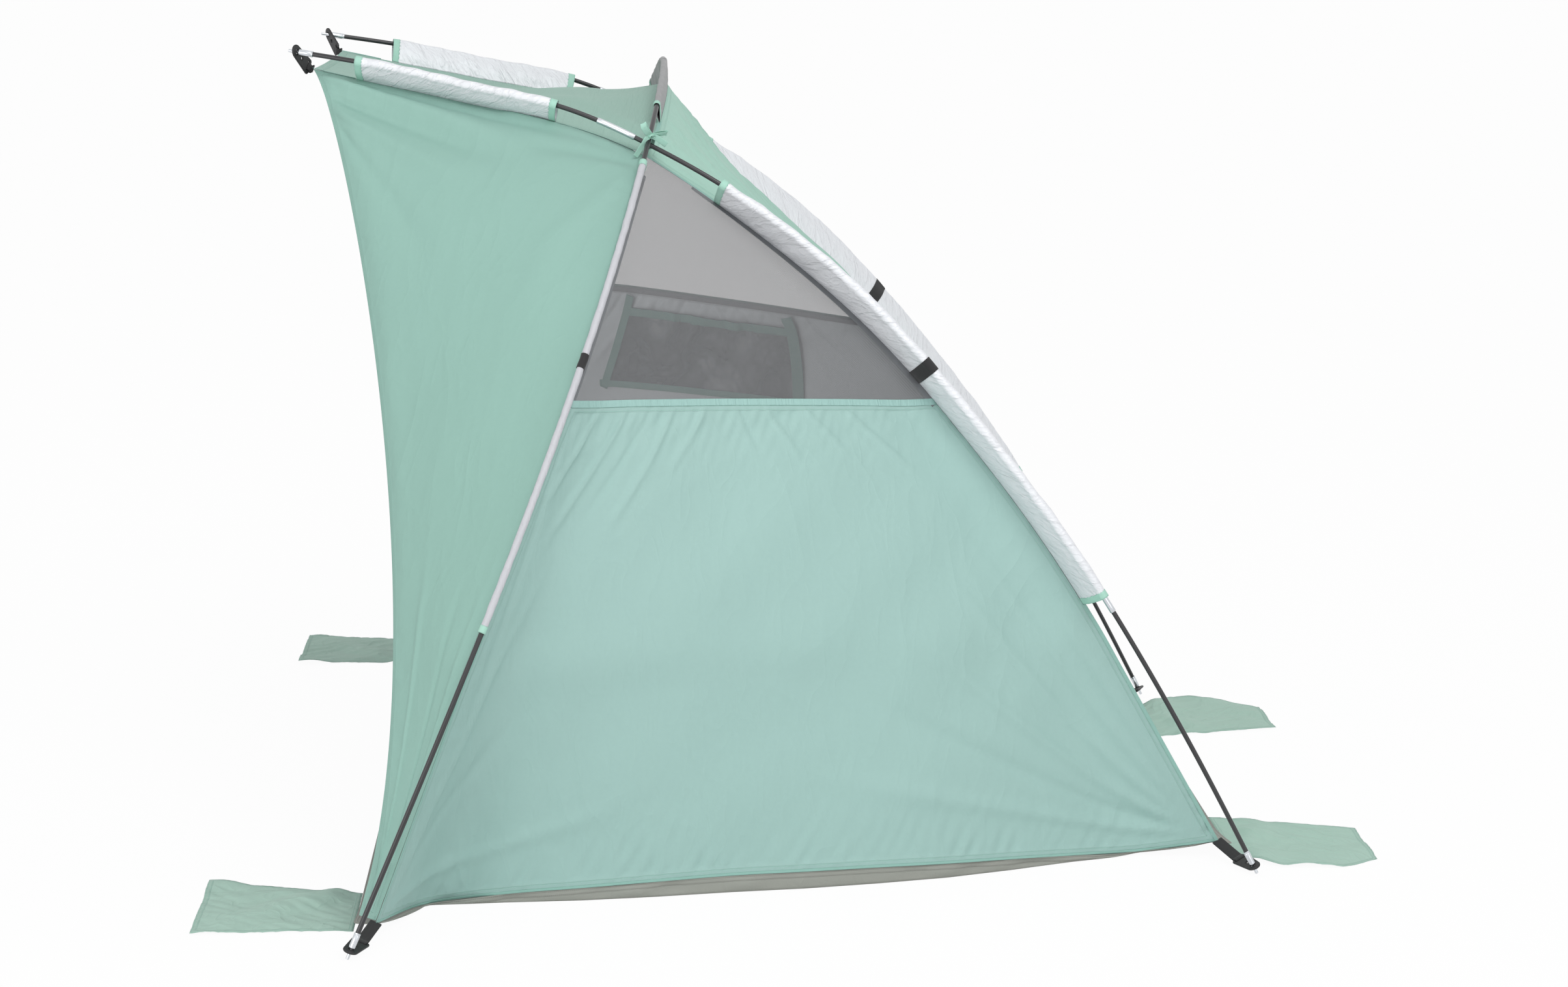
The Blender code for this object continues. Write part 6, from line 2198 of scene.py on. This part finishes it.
@dataclass(frozen=True)
class HubTie:
    """A bow of tape that holds both poles to the cloth where they cross."""

    layout: Layout
    finishes: Finishes
    width: float = 0.0100
    thickness: float = 0.0009

    def ribbon(self, name: str, path: Array, wide: Array, side: Side) -> Piece:
        """A tape carried along a path.

        Args:
            name: The piece's name.
            path: Control points of the path, joined by Catmull-Rom curves.
            wide: The direction of the tape's width.
            side: The tent's side.

        Returns:
            The piece.
        """
        points = smooth_rows(path, np.linspace(0.0, len(path) - 1.0, 12 * (len(path) - 1) + 1))
        ahead = unit(np.gradient(points, axis=0))
        across = square(wide, ahead)
        lines = (points, across, np.cross(ahead, across))
        return tape_along(name, lines, (self.width, self.thickness), side, self.finishes.cloth["tape"])

    @staticmethod
    def parts() -> tuple:
        """The bow's parts: name, the tape's width direction and path, as across, outward and along."""
        ring = ((0.0, -0.0075), (0.0062, -0.0062), (0.0086, 0.003), (0.0072, 0.0122), (0.0, 0.0150))
        ring += tuple((-across, outward) for across, outward in ring[-2::-1])
        stem = ((0.0, -0.0210), (0.0008, -0.0150), (0.0004, -0.0080))
        knot = ((-0.0032, 0.0150, 0.001), (-0.0050, 0.0182, 0.001), (-0.0020, 0.0212, 0.001))
        knot += ((0.0026, 0.0208, 0.001), (0.0050, 0.0178, 0.001), (0.0030, 0.0150, 0.001))
        raised = ((-0.002, 0.0190, 0.0), (-0.008, 0.0265, -0.002), (-0.0165, 0.0385, -0.003))
        raised += ((-0.0200, 0.0425, -0.001), (-0.0190, 0.0370, 0.003), (-0.0110, 0.0270, 0.004))
        raised += ((-0.002, 0.0195, 0.001),)
        lying = ((0.002, 0.0185, 0.0), (0.012, 0.0200, 0.003), (0.024, 0.0215, 0.004))
        lying += ((0.0285, 0.0205, 0.002), (0.024, 0.0190, -0.002), (0.012, 0.0180, -0.003))
        lying += ((0.002, 0.0180, 0.0),)
        hanging = ((-0.002, 0.0180, 0.001), (-0.010, 0.0130, 0.005))
        hanging += ((-0.019, 0.0020, 0.010), (-0.028, -0.0120, 0.014))
        short = ((0.002, 0.0175, 0.001), (0.010, 0.0150, 0.006))
        short += ((0.018, 0.0110, 0.012), (0.024, 0.0080, 0.017))
        return (
            ("ring", (0.0, 0.0, 1.0), ring),
            ("stem", (0.0, 0.0, 1.0), stem),
            ("knot", (0.2, 0.0, 1.0), knot),
            ("loop_front", (0.8, 0.6, 0.0), raised),
            ("loop_back", (-0.1, 0.95, 0.3), lying),
            ("tail_front", (0.6, -0.75, 0.2), hanging),
            ("tail_back", (0.3, 0.8, 0.0), short),
        )

    def build(self) -> None:
        """Both bows: a stem from the cloth, a ring round the poles, a knot, two loops and two tails."""
        layout = self.layout
        outward = -layout.inner
        one = square(layout.hoop.frame_at(layout.lines.hub_from_foot)[0], outward)
        other = square(layout.side.frame_at(layout.hub_place)[0], outward)
        middle = unit(turned_to(one, other) + other)
        axes = np.stack([np.cross(outward, middle), outward, middle])
        centre = layout.side.at(layout.hub_place)
        for side in Side:
            for word, flat, chain in self.parts():
                path = np.array(chain)
                wide = unit(np.array(flat) @ axes)
                points = centre + path @ axes[: path.shape[1]]
                piece = self.ribbon(f"hub_{word}_{side.word}", points, wide, side)
                if word == "ring":
                    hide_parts(f"hub_tie_{side.word}")
            log.info("hub tie, %s: ring, stem, knot, two loops and two tails", side.word)


# Bindings along the seams


@dataclass(frozen=True)
class Bindings:
    """Tapes sewn over the shelter's seams."""

    layout: Layout
    finishes: Finishes
    piping_width: float = 0.006

    def strip(
        self,
        name: str,
        lines: tuple[Array, Array],
        width: float,
        finish: str,
        side: Side,
        lift: float = 0.0010,
        shift: float = 0.003,
        outside: bool = True,
    ) -> None:
        """One tape along a coarse chain, made smooth.

        Args:
            name: The piece's name.
            lines: Coarse points of the seam, and points beside them, further into the cloth.
            width: The tape's width.
            finish: Its finish.
            side: The tent's side.
            lift: How far its middle lies above the cloth.
            shift: How far its edge lies outside the seam.
            outside: Whether it lies on the outer face.
        """
        chain, beside = lines
        where = np.linspace(0.0, len(chain) - 1.0, max(80, 2 * len(chain)))
        edge, inner = smooth_rows(chain, where), smooth_rows(beside, where)
        heart = self.layout.heart
        toward = edge + (edge - heart) if outside else heart
        tape_strip(name, (edge, inner, toward), width, side, self.finishes.cloth[finish], lift, shift)
        log.info("%s: sewn tape, %.0f mm wide", name, width * 1000.0)

    def bare_seams(self, wall: Array) -> list[tuple]:
        """The stretches of seam that no sleeve covers.

        Args:
            wall: The side's coarse grid, from the leg seam to the rear seam.

        Returns:
            For each stretch its name, its dense places along the pole, the first and the last of them that
            are taped, its dense points and the points beside them.
        """
        layout = self.layout
        size = layout.lines
        leg_places, leg = layout.seam_rail(layout.down, layout.leg_line)
        rear_places, rear = layout.seam_rail(layout.behind, layout.rear_line)
        front_places, front = layout.seam_rail(layout.ahead, layout.front_line)
        where = np.linspace(0.0, len(wall) - 1.0, len(leg))
        beside_leg, beside_rear = smooth_rows(wall[:, 1], where), smooth_rows(wall[:, -2], where)
        roof_side = front + np.array([-0.05, 0.0, -0.005])
        rising = -leg_places
        return [
            ("leg_seam_tape", rising, -size.leg_sleeve_start, 0.0, leg, beside_leg),
            ("leg_seam_top", rising, -size.hub_from_foot, -1.41, leg, beside_leg),
            ("rear_seam_tape", rear_places, size.rear_sleeve_end, layout.side.length, rear, beside_rear),
            ("rear_seam_top", rear_places, layout.hub_place, 0.762, rear, beside_rear),
            ("front_seam_tape", front_places, 0.0, 0.116, front, roof_side),
            ("front_seam_top", front_places, 0.460, layout.hub_place, front, roof_side),
        ]

    def ridge(self) -> None:
        """The piping on the ridge seam where the fin doesn't cover it."""
        layout = self.layout
        places, line = layout.seam_rail(layout.over, layout.ridge_line)
        beside = line + np.array([0.0, 0.05, 0.0])
        picked = slice(*np.searchsorted(places, (places[0], layout.lines.hub_from_foot + 0.125)))
        for side in Side:
            lines = (line[picked], beside[picked])
            self.strip(f"ridge_seam_tape_{side.word}", lines, self.piping_width, "piping", side)

    def build(self) -> None:
        """The dark tapes round the mesh windows and the piping on the bare seams."""
        self.ridge()
        layout = self.layout
        upper = layout.lines.upper_steps
        wall, hem = Shelter(layout, self.finishes).side_surface()
        high = slice(1, upper + 1)
        tapes = (
            ("window_rear_tape", (wall[high, -1], wall[high, -2]), 0.011, "binding", 0.0008, 0.0, True),
            ("window_front_tape", (wall[high, 0], wall[high, 1]), 0.006, "binding", 0.0008, 0.0, True),
            ("window_hem_tape", (wall[upper], wall[upper + 1]), 0.011, "binding", 0.0010, 0.0035, False),
            ("window_hem_band", (wall[upper], wall[upper - 1]), 0.011, "band", 0.0012, 0.003, True),
            ("floor_seam_tape", (hem, wall[-2]), 0.004, "piping", 0.0009, 0.001, True),
        )
        for side in Side:
            for word, lines, width, finish, lift, shift, outside in tapes:
                self.strip(f"{word}_{side.word}", lines, width, finish, side, lift, shift, outside)
            for word, places, low, high_end, line, beside in self.bare_seams(wall):
                picked = slice(*np.searchsorted(places, (low - MERGED, high_end + MERGED)))
                lines = (line[picked], beside[picked])
                self.strip(f"{word}_{side.word}", lines, self.piping_width, "piping", side)


# Floor of the studio, light and camera


@dataclass(frozen=True)
class Studio:
    """A pale floor, soft light and the photograph's camera."""

    eye: Point = (5.753, -0.355, 1.586)
    ahead: Point = (-0.98151, 0.05577, -0.18314)
    right: Point = (0.05116, 0.99825, 0.02978)
    focal: float = 5000.0
    picture: tuple[int, int] = (2408, 1515)
    sky: float = 0.66
    floor_glow: float = 0.955

    def camera(self) -> None:
        """The camera, from its eye, its line of sight and its right-hand direction."""
        made = bpy.data.cameras.new("photo_camera")
        made.sensor_width = 36.0
        made.lens = self.focal / self.picture[0] * made.sensor_width
        made.clip_end = 100.0
        holder = bpy.data.objects.new("photo_camera", made)
        bpy.context.collection.objects.link(holder)
        ahead = unit(np.array(self.ahead))
        right = square(np.array(self.right), ahead)
        up = np.cross(right, ahead)
        table = np.eye(4)
        table[:3, 0], table[:3, 1], table[:3, 2], table[:3, 3] = right, up, -ahead, self.eye
        holder.matrix_world = Matrix(table.tolist())
        bpy.context.scene.camera = holder

    @staticmethod
    def lamp(name: str, place: Point, aim: Point, size: float, power: float) -> None:
        """A square soft lamp that looks at a point."""
        made = bpy.data.lights.new(name, "AREA")
        made.size = size
        made.energy = power
        holder = bpy.data.objects.new(name, made)
        bpy.context.collection.objects.link(holder)
        way = Vector(aim) - Vector(place)
        holder.location = place
        holder.rotation_euler = way.to_track_quat("-Z", "Y").to_euler()

    @staticmethod
    def looked_at(wiring: Wiring) -> Socket:
        """One for rays from the camera and for those on their way past gloss or clear matter, else zero."""
        paths = wiring.put("LightPath").outputs
        seen = wiring.calc("MAXIMUM", paths["Is Camera Ray"], paths["Is Glossy Ray"])
        return wiring.calc("MAXIMUM", seen, paths["Is Transmission Ray"])

    def floor(self) -> None:
        """A pale floor that the camera sees as white, dimmed where the tent shades it."""
        grid = np.array([[(-60.0, -60.0, 0.0), (60.0, -60.0, 0.0)], [(-60.0, 60.0, 0.0), (60.0, 60.0, 0.0)]])
        draft = Draft("studio_floor")
        wiring, shader = draft.wiring, draft.shader
        shader.inputs["Base Color"].default_value = (0.86, 0.86, 0.86, 1.0)
        shader.inputs["Roughness"].default_value = 0.9
        share = wiring.calc("MULTIPLY", self.looked_at(wiring), self.floor_glow)
        glow = wiring.put("Emission", None, Color=(1.0, 1.0, 1.0, 1.0), Strength=1.0)
        mixed = wiring.put("MixShader", None, Fac=share, in_1=shader.outputs[0], in_2=glow.outputs[0])
        wiring.feed(wiring.tree.nodes["Material Output"].inputs["Surface"], mixed.outputs[0])
        mesh_piece("studio_floor", grid, [draft.material])

    def world(self) -> None:
        """A white world for the camera and for gloss, and a softer one for light."""
        world = bpy.data.worlds.new("studio_world")
        bpy.context.scene.world = world
        world.use_nodes = True
        wiring = Wiring(world.node_tree)
        back = world.node_tree.nodes["Background"].inputs
        back["Color"].default_value = (1.0, 1.0, 1.0, 1.0)
        strength = wiring.calc("MULTIPLY_ADD", self.looked_at(wiring), 1.0 - self.sky, self.sky)
        wiring.feed(back["Strength"], strength)

    def build(self) -> None:
        """Camera, floor, world and lamps."""
        self.camera()
        self.floor()
        self.world()
        self.lamp("key_lamp", (3.4, 0.9, 4.8), (0.0, 0.0, 0.5), 2.6, 112.0)
        self.lamp("fill_lamp", (4.2, -3.2, 1.1), (0.0, 0.0, 0.4), 2.6, 56.0)
        self.lamp("rear_fill_lamp", (4.6, 2.8, 1.0), (0.0, 0.0, 0.3), 2.4, 20.0)
        bpy.context.scene.view_settings.view_transform = "Standard"
        log.info("studio: floor, world, three lamps and the camera")


def main() -> None:
    """Dress the frame piece by piece."""
    logging.basicConfig(level=logging.INFO, format="%(message)s")
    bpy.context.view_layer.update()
    studio = Studio()
    studio.build()
    finishes = Finishes(Effects())
    layout = Layout()
    Poles(layout, finishes).build()
    for end, corner in zip(layout.ends(), (layout.front, layout.rear, layout.awning)):
        strap = {"webbing_width": 0.0150, "webbing_join": 0.0032} if end[0] == "awning" else {}
        Corner(finishes, *end, corner, **strap).build(frame["nodes"])
    side, hoop = layout.side, layout.hoop
    fin = layout.lines.hub_from_foot + 0.118
    front = (side, layout.ahead, layout.front_line, 0.116, 0.460)
    rear = (side, layout.behind, layout.rear_line, 0.762, 1.691)
    leg = (hoop, layout.down[::-1], layout.leg_line[::-1], 0.524, 1.406)
    ridge = (hoop, layout.over, layout.ridge_line, fin, hoop.length - fin)
    shape = {
        "front": {"radius": 0.0082, "belly": 0.0030, "wrinkle": 0.0011, "wrinkle_pitch": 0.060},
        "rear": {"radius": 0.0082, "belly": 0.0040, "wrinkle": 0.0011, "wrinkle_pitch": 0.070},
        "leg": {"radius": 0.0056, "belly": 0.0004, "wrinkle": 0.0004},
        "ridge": {"radius": 0.0050, "belly": 0.0006, "wrinkle": 0.0007},
    }
    sleeves = (
        ("front", "silver", Slot.SILVER, front, {"left_slide": 0.018, "seed": 5}),
        ("rear", "silver", Slot.SILVER, rear, {"strap": 1.2135, "seed": 7}),
        ("leg", "grey", Slot.GREY, leg, {"strap": 0.980, "seed": 9}),
        ("ridge", "fin", Slot.GREY, ridge, {"seed": 11}),
    )
    for word, cloth, slot, course, more in sleeves:
        dressed = (layout, finishes, finishes.cloth[cloth], slot)
        sleeve = Sleeve(word, *dressed, *course, **shape[word], **more)
        sleeve.build((Side.RIGHT,) if word == "ridge" else tuple(Side))
    Shelter(layout, finishes).build()
    Bindings(layout, finishes).build()
    HubTie(layout, finishes).build()
    Floor(layout, finishes).build()
    front_shares = (((0.0, 0.0), (1.0, -0.18)), ((0.0, 0.0), (1.0, 0.136)))
    rear_shares = (((0.0, 0.0), (1.0, 0.29)), ((0.0, 0.0), (0.3, 0.23), (0.72, 0.22), (1.0, 0.0)))
    rear_root = layout.rear[1] + FloorPlan.rear_margin
    Flap("front", layout, finishes, 0.0, 0.776, 0.967, -1.0, *front_shares, seed=101).build()
    Flap("rear", layout, finishes, rear_root, 0.275, 0.515, 1.0, *rear_shares, seed=105).build()


if __name__ == "__main__":
    main()
